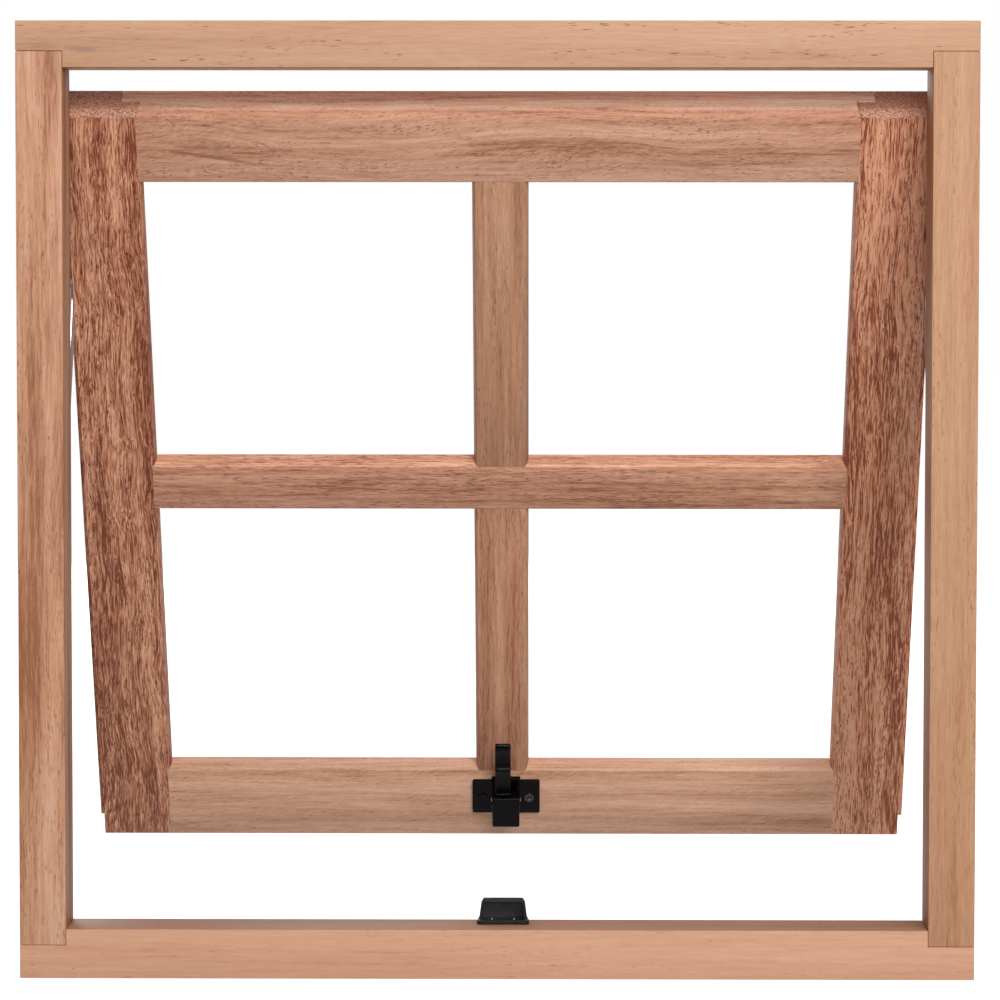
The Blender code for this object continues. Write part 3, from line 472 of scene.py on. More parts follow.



# Where an entry has gains by facing, these are painted light and shade: the upward mouldings and the sash's top faces
# are drawn paler, and the sill top and the reveals are drawn darker
TIMBERS = {
    "head": look(turn=ALONG_X, seed=(3.1, 0, 1.7), wander=2.0, band=0.5, streak=0.45, fibre=0.5,
                 bright="#E3B894", light="#D9A987", middle="#D09D7B", dark="#BC8664", pore="#8C5E46",
                 pore_start=0.72, pore_strength=0.8, pore_across=0.9, pore_along=9.0, grain_axis=(1, 0, 0),
                 marks=(((-0.582, ROOM, -0.257), (0.0022, 0.02, 0.0095), 0, "#A8877C", 0.75),)),
    "sill": look(turn=ALONG_X, seed=(9.4, 0, 4.2), **painted_light_gain((0, 0, 1), (0.75,) * 3, (0.66, 0.63, 0.59)),
                 wander=2.0, band=0.45, streak=0.45, fibre=0.4,
                 bright="#ECBD9D", light="#E3AC8C", middle="#DBA180", dark="#C98D6C", pore="#A26B4F",
                 pore_start=0.74, pore_strength=0.6, grain_axis=(1, 0, 0)),
    "jamb_left": look(seed=(1.3, 0, 2.9), **painted_light_gain((1, 0, 0), (0.85,) * 3, (0.71, 0.70, 0.68)),
                      wander=5.0, band=1.3, band_across=18.0, streak=0.8, fibre=0.6,
                      bright="#E5B395", light="#D79E7A", middle="#C38A67", dark="#A16647", pore="#804C32",
                      pore_start=0.68, pore_strength=0.55),
    "jamb_right": look(seed=(6.2, 0, 8.3), **painted_light_gain((-1, 0, 0), (0.82,) * 3, (0.66, 0.53, 0.46)),
                       wander=3.0, band=0.6, streak=0.55, fibre=0.6,
                       bright="#DBAE87", light="#D29F78", middle="#C7916D", dark="#AF7854", pore="#815338",
                       pore_start=0.70, pore_strength=0.55),
    "stile_left": look(turn=SASH_UP, origin=ARM_PIVOT, seed=(4.7, 0, 5.1), wander=11.0, bend_along=60,
                       band=0.9, streak=1.1, streak_across=1.6, streak_along=34.0, fibre=1.6,
                       bright="#F7BB97", light="#D89876", middle="#B97557", dark="#7D4028", pore="#562A1A",
                       pore_across=0.8, pore_along=4.0, pore_start=0.635,
                       pore_strength=0.75, grain_axis=SASH_AXIS, end_from=0.18),
    "stile_right": look(turn=SASH_UP, origin=ARM_PIVOT, seed=(8.8, 0, 2.4), wander=9.0, bend_along=75,
                        band=1.2, streak=1.5, streak_across=1.7, streak_along=40.0, fibre=2.0,
                        bright="#F7B997", light="#EDA580", middle="#CC825F", dark="#8D4B31", pore="#562A1A",
                        pore_across=0.8, pore_along=4.5, pore_start=0.65,
                        pore_strength=0.72, grain_axis=SASH_AXIS, end_from=0.18),
    "top_rail": look(turn=SASH_ACROSS, origin=ARM_PIVOT, **painted_light_gain(SASH_AXIS, (1.05, 0.99, 0.95), (1.4, 1.85, 2.15)),
                     seed=(2.2, 0, 7.7), wander=15.0, bend_along=110,
                     band=0.9, streak=0.9, fibre=0.5, ripple=0.45, ripple_tilt=18.0, bright="#F6C2A7", light="#E5AC8E", middle="#D49B7D", dark="#AF7457",
                     pore="#8F583E", pore_across=0.85, pore_along=3.5, pore_start=0.66, pore_strength=0.6, grain_axis=(1, 0, 0),
                     marks=(((-0.102, SASH_FACE, -0.179), (0.0017, 0.02, 0.034), -9.3, "#8A5A3E", 0.6),)),
    "bottom_rail": look(turn=SASH_ACROSS, origin=ARM_PIVOT, **painted_light_gain(SASH_AXIS, (1.12,) * 3, (1.1,) * 3),
                        seed=(5.9, 0, 0.6), wander=7.0, band=0.9, streak=0.7,
                        fibre=0.4, ripple=0.35, bright="#F7C8AD", light="#E6B497", middle="#D4A283",
                        dark="#B27C5E", pore="#946045", pore_start=0.70, pore_strength=0.5, grain_axis=(1, 0, 0)),
    "bar_middle": look(turn=SASH_ACROSS, origin=ARM_PIVOT, **painted_light_gain(SASH_AXIS, (1.35,) * 3, (1.4,) * 3),
                       seed=(7.5, 0, 3.3), wander=3.0, band=0.5, streak=0.9,
                       fibre=0.8, bright="#F0BB9F", light="#DDA587", middle="#C78E71", dark="#9F6549",
                       pore="#7E4A35", pore_start=0.62, pore_strength=0.6, grain_axis=(1, 0, 0)),
    "bar_upper": look(turn=SASH_UP, origin=ARM_PIVOT, seed=(0.9, 0, 6.1), wander=4.0, band=0.9, streak=0.7,
                      fibre=0.6, bright="#DAA98B", light="#C99474", middle="#B78363", dark="#935F44",
                      pore="#704530", pore_start=0.66, pore_strength=0.5, grain_axis=SASH_AXIS),
    "bar_lower": look(turn=SASH_UP, origin=ARM_PIVOT, seed=(3.8, 0, 9.2), wander=4.0, band=0.9, streak=0.7,
                      fibre=0.6, bright="#E3AF92", light="#D39B7C", middle="#C08868", dark="#9B6247",
                      pore="#7A4B36", pore_start=0.66, pore_strength=0.5, grain_axis=SASH_AXIS),
}


def mill_aluminium():
    """Rolled and extruded aluminium, mill finish: pale bluish grey, with faint lines along its length."""
    material, tree, shader = new_material("aluminium_mill_finish", Metallic=1.0, Roughness=0.38)
    coordinates = node(tree, "ShaderNodeTexCoord")
    stretched = node(tree, "ShaderNodeMapping", {
        "Vector": coordinates.outputs["Object"], "Scale": (3000, 3000, 40)})
    lines = node(tree, "ShaderNodeTexNoise", {"Vector": stretched.outputs["Vector"], "Scale": 1.0, "Detail": 2.0})
    tint = node(tree, "ShaderNodeValToRGB", {"Fac": lines.outputs["Fac"]}, stops=(
        (0.3, linear("#A9AEB6")), (0.7, linear("#CDD0D6"))))
    tree.links.new(tint.outputs["Color"], shader.inputs["Base Color"])
    bump = node(tree, "ShaderNodeBump", {"Height": lines.outputs["Fac"], "Strength": 0.25, "Distance": 0.05 * MM})
    tree.links.new(bump.outputs["Normal"], shader.inputs["Normal"])
    return material


def plated_steel(name, low, high, roughness):
    """Plated steel: a clouded metal with slight changes of tint."""
    material, tree, shader = new_material(name, Metallic=1.0, Roughness=roughness)
    coordinates = node(tree, "ShaderNodeTexCoord")
    cloud = node(tree, "ShaderNodeTexNoise", {
        "Vector": coordinates.outputs["Object"], "Scale": 900.0, "Detail": 3.0})
    tint = node(tree, "ShaderNodeValToRGB", {"Fac": cloud.outputs["Fac"]}, stops=(
        (0.35, linear(low)), (0.65, linear(high))))
    tree.links.new(tint.outputs["Color"], shader.inputs["Base Color"])
    return material


def black_coated(name, low, high, roughness, gloss, grain, relief):
    """A black coating or moulding: near black, with a fine orange-peel surface and worn tone."""
    material, tree, shader = new_material(name, Roughness=roughness, Specular_IOR_Level=gloss)
    coordinates = node(tree, "ShaderNodeTexCoord")
    patch = node(tree, "ShaderNodeTexNoise", {
        "Vector": coordinates.outputs["Object"], "Scale": 160.0, "Detail": 3.0})
    tint = node(tree, "ShaderNodeValToRGB", {"Fac": patch.outputs["Fac"]}, stops=(
        (0.35, linear(low)), (0.7, linear(high))))
    tree.links.new(tint.outputs["Color"], shader.inputs["Base Color"])
    peel = node(tree, "ShaderNodeTexNoise", {
        "Vector": coordinates.outputs["Object"], "Scale": 1000 / grain, "Detail": 2.0})
    bump = node(tree, "ShaderNodeBump", {"Height": peel.outputs["Fac"], "Strength": 0.5, "Distance": relief * MM})
    tree.links.new(bump.outputs["Normal"], shader.inputs["Normal"])
    return material


FINISHES = {}


def finish_of(name):
    """The named material, made the first time that it is asked for."""
    if name not in FINISHES:
        if name in TIMBERS:
            FINISHES[name] = timber("planed_hardwood_" + name, TIMBERS[name])
        elif name == "aluminium":
            FINISHES[name] = mill_aluminium()
        elif name == "rivet":
            FINISHES[name] = plated_steel("stainless_steel_turned", "#8E9094", "#A9ABAF", 0.3)
        elif name == "zinc":
            FINISHES[name] = plated_steel("zinc_plated_steel_passivated", "#9C8E62", "#B5A87F", 0.34)
        elif name == "nylon":
            FINISHES[name] = black_coated("nylon_moulded_black", "#161616", "#1E1E1E", 0.5, 0.3, 0.8, 0.03)
        elif name == "iron":
            FINISHES[name] = black_coated("cast_metal_black_lacquer", "#050304", "#0D090B", 0.2, 0.06, 1.4, 0.16)
        elif name == "black_screw":
            FINISHES[name] = black_coated("black_zinc_plated_steel", "#0A0A0B", "#161617", 0.16, 0.35, 1.4, 0.02)
        elif name == "keeper_iron":
            FINISHES[name] = black_coated("cast_metal_black_lacquer_rubbed", "#1A191D", "#28262C", 0.4, 0.2, 1.4, 0.05)
    return FINISHES[name]


# ---- Sections ------------------------------------------------------------------------------------
def moulding(edge, inward, grow=0.0):
    """Points (across, depth) of the room-side ovolo, the glazing tongue and the rebate behind it."""
    front = edge - inward * MOULD_WIDTH
    steps = 10
    turns = [math.radians(90 * i / steps) for i in range(steps + 1)]
    curve = [(front + inward * (MOULD_WIDTH * math.sin(a) + grow), SASH_FACE + MOULD_DEPTH * (1 - math.cos(a)))
             for a in turns]
    tongue = SASH_FACE + REBATE_START + grow
    far = edge + inward * grow
    return curve + [(far, tongue), (far - inward * REBATE, tongue), (far - inward * REBATE, SASH_BACK)]


def carried_on(points, beyond):
    """A grown moulding carried past the sash's faces and closed beyond the timber, as a cutter."""
    reach = MM
    first, last = points[0], points[-1]
    return ([(first[0], first[1] - reach)] + points + [(last[0], last[1] + reach)]
            + [(beyond, SASH_BACK + reach), (beyond, SASH_FACE - reach)])


def swap(points):
    """(across, depth) as (depth, across), the order of a section that runs along X."""
    return [(depth, across) for across, depth in points]


# ---- Screws --------------------------------------------------------------------------------------
def screw_template(name, sizes):
    """A countersunk wood screw with its flush face at the origin and its shank down -Z."""
    head, sink, shank, length = sizes
    flush = 0.12 * MM
    tip = 3 * shank
    screw = turned(name, [(0.2 * shank, -length), (shank, tip - length), (shank, -sink), (head - flush, -2 * flush),
                          (head - 2 * flush, -flush), (0.3 * head, -flush * 0.8)])
    # Cross recess: two tapered slots
    for wide, deep in ((0.62 * head, 0.13 * head), (0.13 * head, 0.62 * head)):
        slot = block("recess", (-wide, -deep, -0.75 * sink), (wide, deep, 0.5 * MM))
        activate(slot)
        for vertex in slot.data.vertices:
            if vertex.co.z < 0:
                vertex.co.x *= 0.45 if wide > deep else 0.8
                vertex.co.y *= 0.45 if deep > wide else 0.8
        combine(screw, slot)
    soften(screw, 0.06 * MM, 1, 60)
    return screw


def hole(sizes, matrix, gap):
    """The clearance round a screw, as a cutter."""
    head, sink, shank, length = sizes
    tool = turned("hole", [(shank + gap, -length - gap), (shank + gap, -sink - gap), (head + gap, -0.0),
                           (head + gap, MM)], 32)
    return place(tool, matrix)


def screws_in(template, sizes, spots, gap, body, finish, timbers):
    """Copies of a screw at (name, matrix, pieces that its hole is cut from)."""
    for name, matrix, pieces in spots:
        for piece in pieces:
            combine(timbers[piece], hole(sizes, matrix, gap))
            smooth(timbers[piece])
        screw = duplicate(template, name + "_piece", matrix)
        settle(screw, body, [name], finish_of(finish))


def settings():
    return bpy.context.scene.window_sizes


MADE = {}


# ---- Properties ----------------------------------------------------------------------------------
class WindowSizes(bpy.types.PropertyGroup):
    """Sizes that change the visual model without changing the window's own dimensions."""
    arris: FloatProperty(name="Arris", description="Rounding of the timber's edges", default=0.45 * MM,
                         min=0.05 * MM, max=2 * MM, unit="LENGTH")
    joint: FloatProperty(name="Joint", description="Gap left in the timber joints", default=0.24 * MM,
                         min=0.0, max=MM, unit="LENGTH")
    casting: FloatProperty(name="Casting grain", description="Spacing of the mesh on the cast lever",
                           default=0.36 * MM, min=0.2 * MM, max=MM, unit="LENGTH")
    lens: FloatProperty(name="Lens", description="Focal length of the camera, in millimetres", default=153.6,
                        min=20.0, max=400.0)


class WindowColours(bpy.types.PropertyGroup):
    """Colours of the stage and its light."""
    floor: FloatVectorProperty(name="Floor", description="Colour of the floor", subtype="COLOR", size=4,
                               default=linear("#F4F4F4"), min=0.0, max=1.0)
    sky: FloatVectorProperty(name="Surroundings", description="Colour of the light from all round",
                             subtype="COLOR", size=4, default=linear("#FFFFFF"), min=0.0, max=1.0)


# ---- Pieces --------------------------------------------------------------------------------------
class OuterFrame(bpy.types.Operator):
    """Head, sill and two jambs, with the jambs let into the head and the sill."""
    bl_idname = "timber_window.outer_frame"
    bl_label = "Outer frame"

    def execute(self, context):
        gap = settings().joint
        head_section = [(ROOM, HEAD_UNDER), (STOP_BACK, HEAD_UNDER), (STOP_BACK, REBATE_TOP),
                        (OUTSIDE, REBATE_TOP), (OUTSIDE, TOP), (ROOM, TOP)]
        sill_section = [(ROOM, 0), (OUTSIDE, 0), (OUTSIDE, SILL_EDGE), (STOP_BACK, SILL_FLOOR),
                        (STOP_BACK, SILL_TOP), (ROOM, SILL_TOP)]
        head = swept("head_piece", head_section, -HALF_WIDTH, HALF_WIDTH, "X")
        sill = swept("sill_piece", sill_section, -HALF_WIDTH, HALF_WIDTH, "X")
        over = 5 * MM
        jamb_low, jamb_high = SILL_TOP - HOUSING, HEAD_UNDER + HOUSING
        back_low = SILL_EDGE - 2 * MM
        for side, name in SIDES:
            inner, wall, outer = side * JAMB_INNER, side * REBATE_X, side * HALF_WIDTH
            combine(head, block("housing", (inner - side * gap, ROOM - over, HEAD_UNDER - over),
                                (outer + side * over, STOP_BACK + gap, jamb_high + gap)))
            combine(sill, block("housing", (inner - side * gap, ROOM - over, jamb_low - gap),
                                (outer + side * over, STOP_BACK + gap, SILL_TOP + over)))
            combine(sill, block("housing", (wall - side * gap, STOP_BACK - gap, back_low - gap),
                                (outer + side * over, OUTSIDE + over, SILL_TOP + over)))
            jamb = block(f"jamb_{name}_piece", (inner, ROOM, jamb_low), (outer, STOP_BACK, jamb_high))
            combine(jamb, block("back", (wall, STOP_BACK - MM, back_low + 0.0), (outer, OUTSIDE, REBATE_TOP - gap)),
                    "UNION")
            combine(jamb, block("trim", (inner - side * over, STOP_BACK - over, back_low - over),
                                (outer + side * over, STOP_BACK, jamb_low)))
            combine(jamb, block("trim", (inner - side * over, STOP_BACK - over, jamb_high),
                                (outer + side * over, STOP_BACK, REBATE_TOP + over)))
            soften(jamb, settings().arris)
            MADE[f"frame_jamb_{name}"] = settle(jamb, "root", [f"frame_jamb_{name}"],
                                                finish_of(f"jamb_{name}"))
        for piece, name in ((head, "head"), (sill, "sill")):
            soften(piece, settings().arris)
            MADE[f"frame_{name}"] = settle(piece, "root", [f"frame_{name}"], finish_of(name))
        return {"FINISHED"}


class SashTimber(bpy.types.Operator):
    """Stiles, rails and glazing bars, scribed over each other's mouldings."""
    bl_idname = "timber_window.sash_timber"
    bl_label = "Sash timber"

    def execute(self, context):
        gap = settings().joint
        inner = HALF_SASH - STILE
        length = inner + REBATE
        pieces = {}
        for side, name in SIDES:
            start = SASH_FACE + LIP_START
            outline = moulding(side * inner, -side) + [
                (side * (HALF_SASH + LIP), SASH_BACK), (side * (HALF_SASH + LIP), start),
                (side * HALF_SASH, start), (side * HALF_SASH, SASH_FACE)]
            pieces[f"sash_stile_{name}"] = swept(f"stile_{name}_piece", outline, SASH_BOTTOM, SASH_TOP, "Z")
        top_outline = swap(moulding(TOP_EDGE, -1)) + [(SASH_BACK, SASH_TOP), (SASH_FACE, SASH_TOP)]
        bottom_outline = swap(moulding(BOTTOM_EDGE, 1)) + [(SASH_BACK, SASH_BOTTOM), (SASH_FACE, SASH_BOTTOM)]
        middle_outline = swap(moulding(BAR_TOP, 1) + moulding(BAR_BOTTOM, -1)[::-1])
        for node_name, outline in (("sash_top_rail", top_outline), ("sash_bottom_rail", bottom_outline),
                                   ("glazing_bar_middle", middle_outline)):
            rail = swept(node_name + "_piece", outline, -length, length, "X")
            for side, _ in SIDES:
                far = side * (HALF_SASH + 3 * LIP)
                combine(rail, swept("scribe", carried_on(moulding(side * inner, -side, gap), far),
                                    SASH_BOTTOM - LIP, SASH_TOP + LIP, "Z"))
            pieces[node_name] = rail
        left, right = BAR_OFFSET - BAR / 2, BAR_OFFSET + BAR / 2
        section = moulding(right, 1) + moulding(left, -1)[::-1]
        middle_z = (BAR_TOP + BAR_BOTTOM) / 2
        for node_name, low, high, scribes in (
                ("glazing_bar_upper", BAR_TOP - REBATE, TOP_EDGE + REBATE,
                 ((TOP_EDGE, -1, SASH_TOP + LIP), (BAR_TOP, 1, middle_z))),
                ("glazing_bar_lower", BOTTOM_EDGE - REBATE, BAR_BOTTOM + REBATE,
                 ((BAR_BOTTOM, -1, middle_z), (BOTTOM_EDGE, 1, SASH_BOTTOM - LIP)))):
            bar = swept(node_name + "_piece", section, low, high, "Z")
            for edge, way, beyond in scribes:
                combine(bar, swept("scribe", swap(carried_on(moulding(edge, way, gap), beyond)), -BAR, BAR, "X"))
            pieces[node_name] = bar
        for node_name in ("sash_stile_left", "sash_stile_right", "sash_top_rail"):
            centre = (SASH_FACE + TOP_ROUND, SASH_TOP - TOP_ROUND)
            reach = 2 * MM
            rounding = arc(centre, TOP_ROUND, 90, 180, 12) + [
                (SASH_FACE - reach, centre[1]), (SASH_FACE - reach, SASH_TOP + reach), (centre[0], SASH_TOP + reach)]
            combine(pieces[node_name], swept("rounding", rounding, -2 * HALF_SASH, 2 * HALF_SASH, "X"))
        finishes = {"sash_stile_left": "stile_left", "sash_stile_right": "stile_right", "sash_top_rail": "top_rail",
                    "sash_bottom_rail": "bottom_rail", "glazing_bar_middle": "bar_middle",
                    "glazing_bar_upper": "bar_upper", "glazing_bar_lower": "bar_lower"}
        for node_name, piece in pieces.items():
            soften(piece, settings().arris * 0.8)
            place(piece, SASH_PLACE)
            MADE[node_name] = settle(piece, "sash", [node_name],
                                     finish_of(finishes[node_name]))
        return {"FINISHED"}


class SideStays(bpy.types.Operator):
    """Tracks, shoes, arms, sash bars and their pivots, on both sides."""
    bl_idname = "timber_window.side_stays"
    bl_label = "Side stays"

    def execute(self, context):
        for side, name in SIDES:
            self.track(side, name)
            self.links(side, name)
            self.pivots(side, name)
        return {"FINISHED"}

    def track(self, side, name):
        low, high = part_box(f"stay_track_{name}")
        half = TRACK_WIDTH / 2
        floor = REBATE_X - CLEAR
        section = [(floor, -half), (TRACK_EDGE, -half), (TRACK_EDGE, TRACK_WALL - half),
                   (TRACK_BASE, TRACK_WALL - half), (TRACK_BASE, half - TRACK_WALL),
                   (TRACK_EDGE, half - TRACK_WALL), (TRACK_EDGE, half), (floor, half)]
        track = swept(f"track_{name}_piece", [(side * x, FRAME_PIVOT.y + y) for x, y in section], low.z, high.z, "Z")
        soften(track, 0.2 * MM)
        MADE[f"stay_track_{name}"] = settle(track, "root", [f"stay_track_{name}"],
                                            finish_of("aluminium"))
        slide, hub = TRACK_BASE - CLEAR, TRACK_EDGE + CLEAR
        half_slide = half - TRACK_WALL - CLEAR
        shoe = swept(f"shoe_{name}_piece", rounded_box((-half_slide, -10 * MM), (half_slide, 10 * MM), 3 * MM),
                     side * hub, side * slide, "X")
        combine(shoe, swept("hub", arc((0, 0), 7.2 * MM, 0, 351, 39), side * ARM_INNER, side * (hub + 0.5 * MM), "X"),
                "UNION")
        soften(shoe, 0.25 * MM)
        place(shoe, SHOE_PLACE)
        settle(shoe, "shoes", [f"stay_shoe_{name}"], finish_of("nylon"))

    def links(self, side, name):
        inner, outer = HALF_SASH - STAY_THICK, HALF_SASH
        bar = swept(f"sash_bar_{name}_piece", strip(-60 * MM, LINK, STAY_WIDTH), side * inner, side * outer, "X")
        soften(bar, 0.3 * MM)
        place(bar, SASH_PLACE)
        MADE[f"stay_bar_{name}"] = settle(bar, "sash", [f"stay_bar_{name}"], finish_of("aluminium"))
        recess = swept("recess", strip(-60 * MM, LINK, STAY_WIDTH + 2 * CLEAR), side * (inner - CLEAR),
                       side * (outer + MM), "X")
        combine(MADE[f"sash_stile_{name}"], place(recess, SASH_PLACE))
        smooth(MADE[f"sash_stile_{name}"])
        arm = swept(f"arm_{name}_piece", strip(0, LINK, STAY_WIDTH), side * ARM_INNER, side * ARM_OUTER, "X")
        soften(arm, 0.4 * MM)
        place(arm, ARM_PLACE)
        settle(arm, "arms", [f"stay_arm_{name}"], finish_of("aluminium"))

    def pivots(self, side, name):
        way = (side, 0, 0)
        base = ARM_OUTER + 0.1 * MM
        # Domed rivet heads outside the arm, and a flat head behind the sash bar
        dome = [(RIVET_HEAD, base), (RIVET_HEAD, base + 0.5 * MM), (RIVET_HEAD - 0.4 * MM, base + 0.9 * MM),
                (RIVET_HEAD - 1.2 * MM, base + 1.2 * MM), (RIVET_HEAD * 0.4, base + 1.35 * MM)]
        back = HALF_SASH - STAY_THICK - CLEAR - MM
        shank = [(RIVET_HEAD, back), (RIVET_HEAD, back + MM), (RIVET, back + MM), (RIVET, base)]
        arm_pivot = turned(f"arm_pivot_{name}_piece", shank + dome)
        shoe_end = TRACK_BASE - CLEAR - 1.6 * MM
        shoe_pivot = turned(f"shoe_pivot_{name}_piece", shank[:3] + [(RIVET, shoe_end)])
        boss = turned(f"frame_pivot_{name}_piece", [
            (RIVET * 0.5, ARM_INNER + 0.1 * MM), (RIVET, ARM_INNER + 0.3 * MM), (RIVET, ARM_OUTER + CLEAR),
            (RIVET_HEAD, ARM_OUTER + CLEAR), (RIVET_HEAD, TRACK_BASE - 0.1 * MM), (RIVET, TRACK_BASE - 0.1 * MM),
            (RIVET, REBATE_X - 2 * CLEAR)])
        for piece, matrix, body, node_name in (
                (arm_pivot, SASH_PLACE @ aimed((0, 0, 0), way), "sash", f"arm_pivot_{name}"),
                (shoe_pivot, SASH_PLACE @ aimed((0, 0, LINK), way), "sash", f"shoe_pivot_{name}"),
                (boss, aimed(FRAME_PIVOT, way), "root", f"frame_pivot_{name}")):
            soften(piece, 0.1 * MM, 2, 60)
            place(piece, matrix)
            settle(piece, body, [node_name], finish_of("rivet"))


class Latch(bpy.types.Operator):
    """Bracket with two screwed ears, pin, and the cast lever with its finger tab and claw."""
    bl_idname = "timber_window.latch"
    bl_label = "Latch"

    def execute(self, context):
        bracket = swept("bracket_piece", rounded_box((-23.2 * MM, -15.1 * MM), (23.2 * MM, 11.2 * MM), 1.4 * MM),
                        PLATE_FRONT, PLATE_BACK, "Y")
        foot = PLATE_FRONT + MM
        cheek = [(foot, 14.5 * MM), (-3 * MM, 12 * MM)] + arc((0, 0), 6 * MM, 150, 240, 12)
        cheek += [(0, -6 * MM), (foot, -10.5 * MM)]
        for side, _ in SIDES:
            combine(bracket, swept("cheek", cheek, side * (HUB_HALF + CLEAR), side * CHEEK_OUTER, "X"), "UNION")
        combine(bracket, block("bridge", (-HUB_HALF - MM, foot - 3.5 * MM, 9.5 * MM),
                               (HUB_HALF + MM, foot, 14.5 * MM)), "UNION")
        soften(bracket, 0.45 * MM, 3, 40)
        place(bracket, LATCH_PLACE)
        MADE["latch_bracket"] = settle(bracket, "sash", ["latch_bracket"], finish_of("iron"))
        pin_end = CHEEK_OUTER + 0.3 * MM
        pin = turned("pin_piece", [(LATCH_PIN * 0.8, -pin_end), (LATCH_PIN, 0.4 * MM - pin_end),
                                   (LATCH_PIN, pin_end - 0.4 * MM), (LATCH_PIN * 0.8, pin_end)])
        smooth(pin)
        place(pin, LATCH_PLACE @ aimed((0, 0, 0), (1, 0, 0)))
        settle(pin, "sash", ["latch_pin"], finish_of("zinc"))
        self.lever()
        return {"FINISHED"}

    def lever(self):
        hub = arc((0, 0), 5.4 * MM, -60, 60, 12) + [(-1.5 * MM, 8 * MM), (-7 * MM, 8 * MM), (-7 * MM, -7.5 * MM),
                                                    (-2 * MM, -6 * MM)]
        lever = swept("lever_piece", hub, -HUB_HALF, HUB_HALF, "X")
        claw = ([(-6.5 * MM, 7.9 * MM)] + arc((-11.8 * MM, 7.3 * MM), 1.2 * MM, 90, 180, 5)
                + [(-13 * MM, -14 * MM), (-12 * MM, -15.5 * MM), (-10.2 * MM, -15.5 * MM), (-10.2 * MM, -8.5 * MM),
                   (-9.2 * MM, -7.5 * MM), (-6.5 * MM, -7.5 * MM)])
        half = 9.35 * MM
        claw_piece = swept("claw", claw, -half, half, "X")
        corners = rounded_box((-half, -15.6 * MM), (half, 12 * MM), 1.9 * MM)
        combine(claw_piece, swept("corners", corners, -16 * MM, -4 * MM, "Y"), "INTERSECT")
        combine(lever, claw_piece, "UNION")
        # Side profile of the finger tab: two ridges with a hollow between them
        front = [(-6, 2), (-6.2, 14), (-6.8, 20), (-8.0, 25.5), (-8.9, 28), (-8.6, 29.6), (-7.4, 30.6), (-6.4, 33),
                 (-6.3, 37), (-6.8, 41), (-7.8, 44.5), (-8.0, 46.5), (-7.4, 48.4), (-6.0, 49.3)]
        rear = [(-4.4, 48.6), (-3.4, 46), (-2.4, 40), (-1.8, 32), (-1.5, 24), (-1.6, 10), (-1.6, 2)]
        tab = swept("tab", [(y * MM, z * MM) for y, z in front + rear], -7.35 * MM, 3.35 * MM, "X")
        soften(tab, 0.8 * MM, 3, 60)
        combine(lever, tab, "UNION")
        activate(lever)
        remesh = lever.modifiers.new("Casting", "REMESH")
        remesh.mode = "VOXEL"
        remesh.voxel_size = settings().casting
        bpy.ops.object.modifier_apply(modifier=remesh.name)
        relax = lever.modifiers.new("Relax", "SMOOTH")
        relax.factor = 0.6
        relax.iterations = 5
        bpy.ops.object.modifier_apply(modifier=relax.name)
        bpy.ops.object.shade_smooth()
        place(lever, LATCH_PLACE)
        settle(lever, "latch_lever", ["latch_lever"], finish_of("iron"))


class Keeper(bpy.types.Operator):
    """Keeper on the sill: a flange, two side ribs and a tapered wall with a rim."""
    bl_idname = "timber_window.keeper"
    bl_label = "Keeper"

    def execute(self, context):
        low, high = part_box("latch_keeper")
        middle = (low.x + high.x) / 2
        floor = SILL_TOP + 0.05 * MM
        half_foot, half_top, corner = 16.5 * MM, 13.2 * MM, 2.5 * MM
        outline = ([(middle - half_foot + 1.2 * MM, KEEPER_BACK)]
                   + arc((middle - half_foot + corner, KEEPER_FRONT + corner), corner, 180, 270, 6)
                   + arc((middle + half_foot - corner, KEEPER_FRONT + corner), corner, 270, 360, 6)
                   + [(middle + half_foot - 1.2 * MM, KEEPER_BACK)])
        keeper = swept("keeper_piece", outline, floor, KEEPER_FLANGE, "Z")
        foot = half_foot - 1.3 * MM
        wall = [(middle - foot, floor + MM), (middle + foot, floor + MM), (middle + half_top, KEEPER_TOP - MM),
                (middle + half_top - MM, KEEPER_TOP), (middle - half_top + MM, KEEPER_TOP),
                (middle - half_top, KEEPER_TOP - MM)]
        combine(keeper, swept("wall", wall, KEEPER_WALL, KEEPER_BACK, "Y"), "UNION")
        rim = [(middle - half_top + 0.6 * MM, KEEPER_TOP - 2.4 * MM), (middle + half_top - 0.6 * MM, KEEPER_TOP - 2.4 * MM),
               (middle + half_top - MM, KEEPER_TOP - 0.4 * MM), (middle - half_top + MM, KEEPER_TOP - 0.4 * MM)]
        combine(keeper, swept("rim", rim, KEEPER_WALL - 1.4 * MM, KEEPER_WALL + MM, "Y"), "UNION")
        rib = [(KEEPER_WALL + MM, floor + MM), (KEEPER_FRONT + 4 * MM, floor + MM),
               (KEEPER_WALL - 2 * MM, KEEPER_TOP - 2.5 * MM), (KEEPER_WALL + MM, KEEPER_TOP - 1.5 * MM)]
        for side, _ in SIDES:
            flank = swept("rib", rib, middle + side * (half_top - 1.6 * MM), middle + side * (half_top + 0.4 * MM), "X")
            lean = (foot - half_top) / (KEEPER_TOP - floor)
            for vertex in flank.data.vertices:
                vertex.co.x += side * lean * (KEEPER_TOP - vertex.co.z)
            combine(keeper, flank, "UNION")
        soften(keeper, 0.4 * MM, 3, 40)
        MADE["latch_keeper"] = settle(keeper, "root", ["latch_keeper"], finish_of("keeper_iron"))
        return {"FINISHED"}


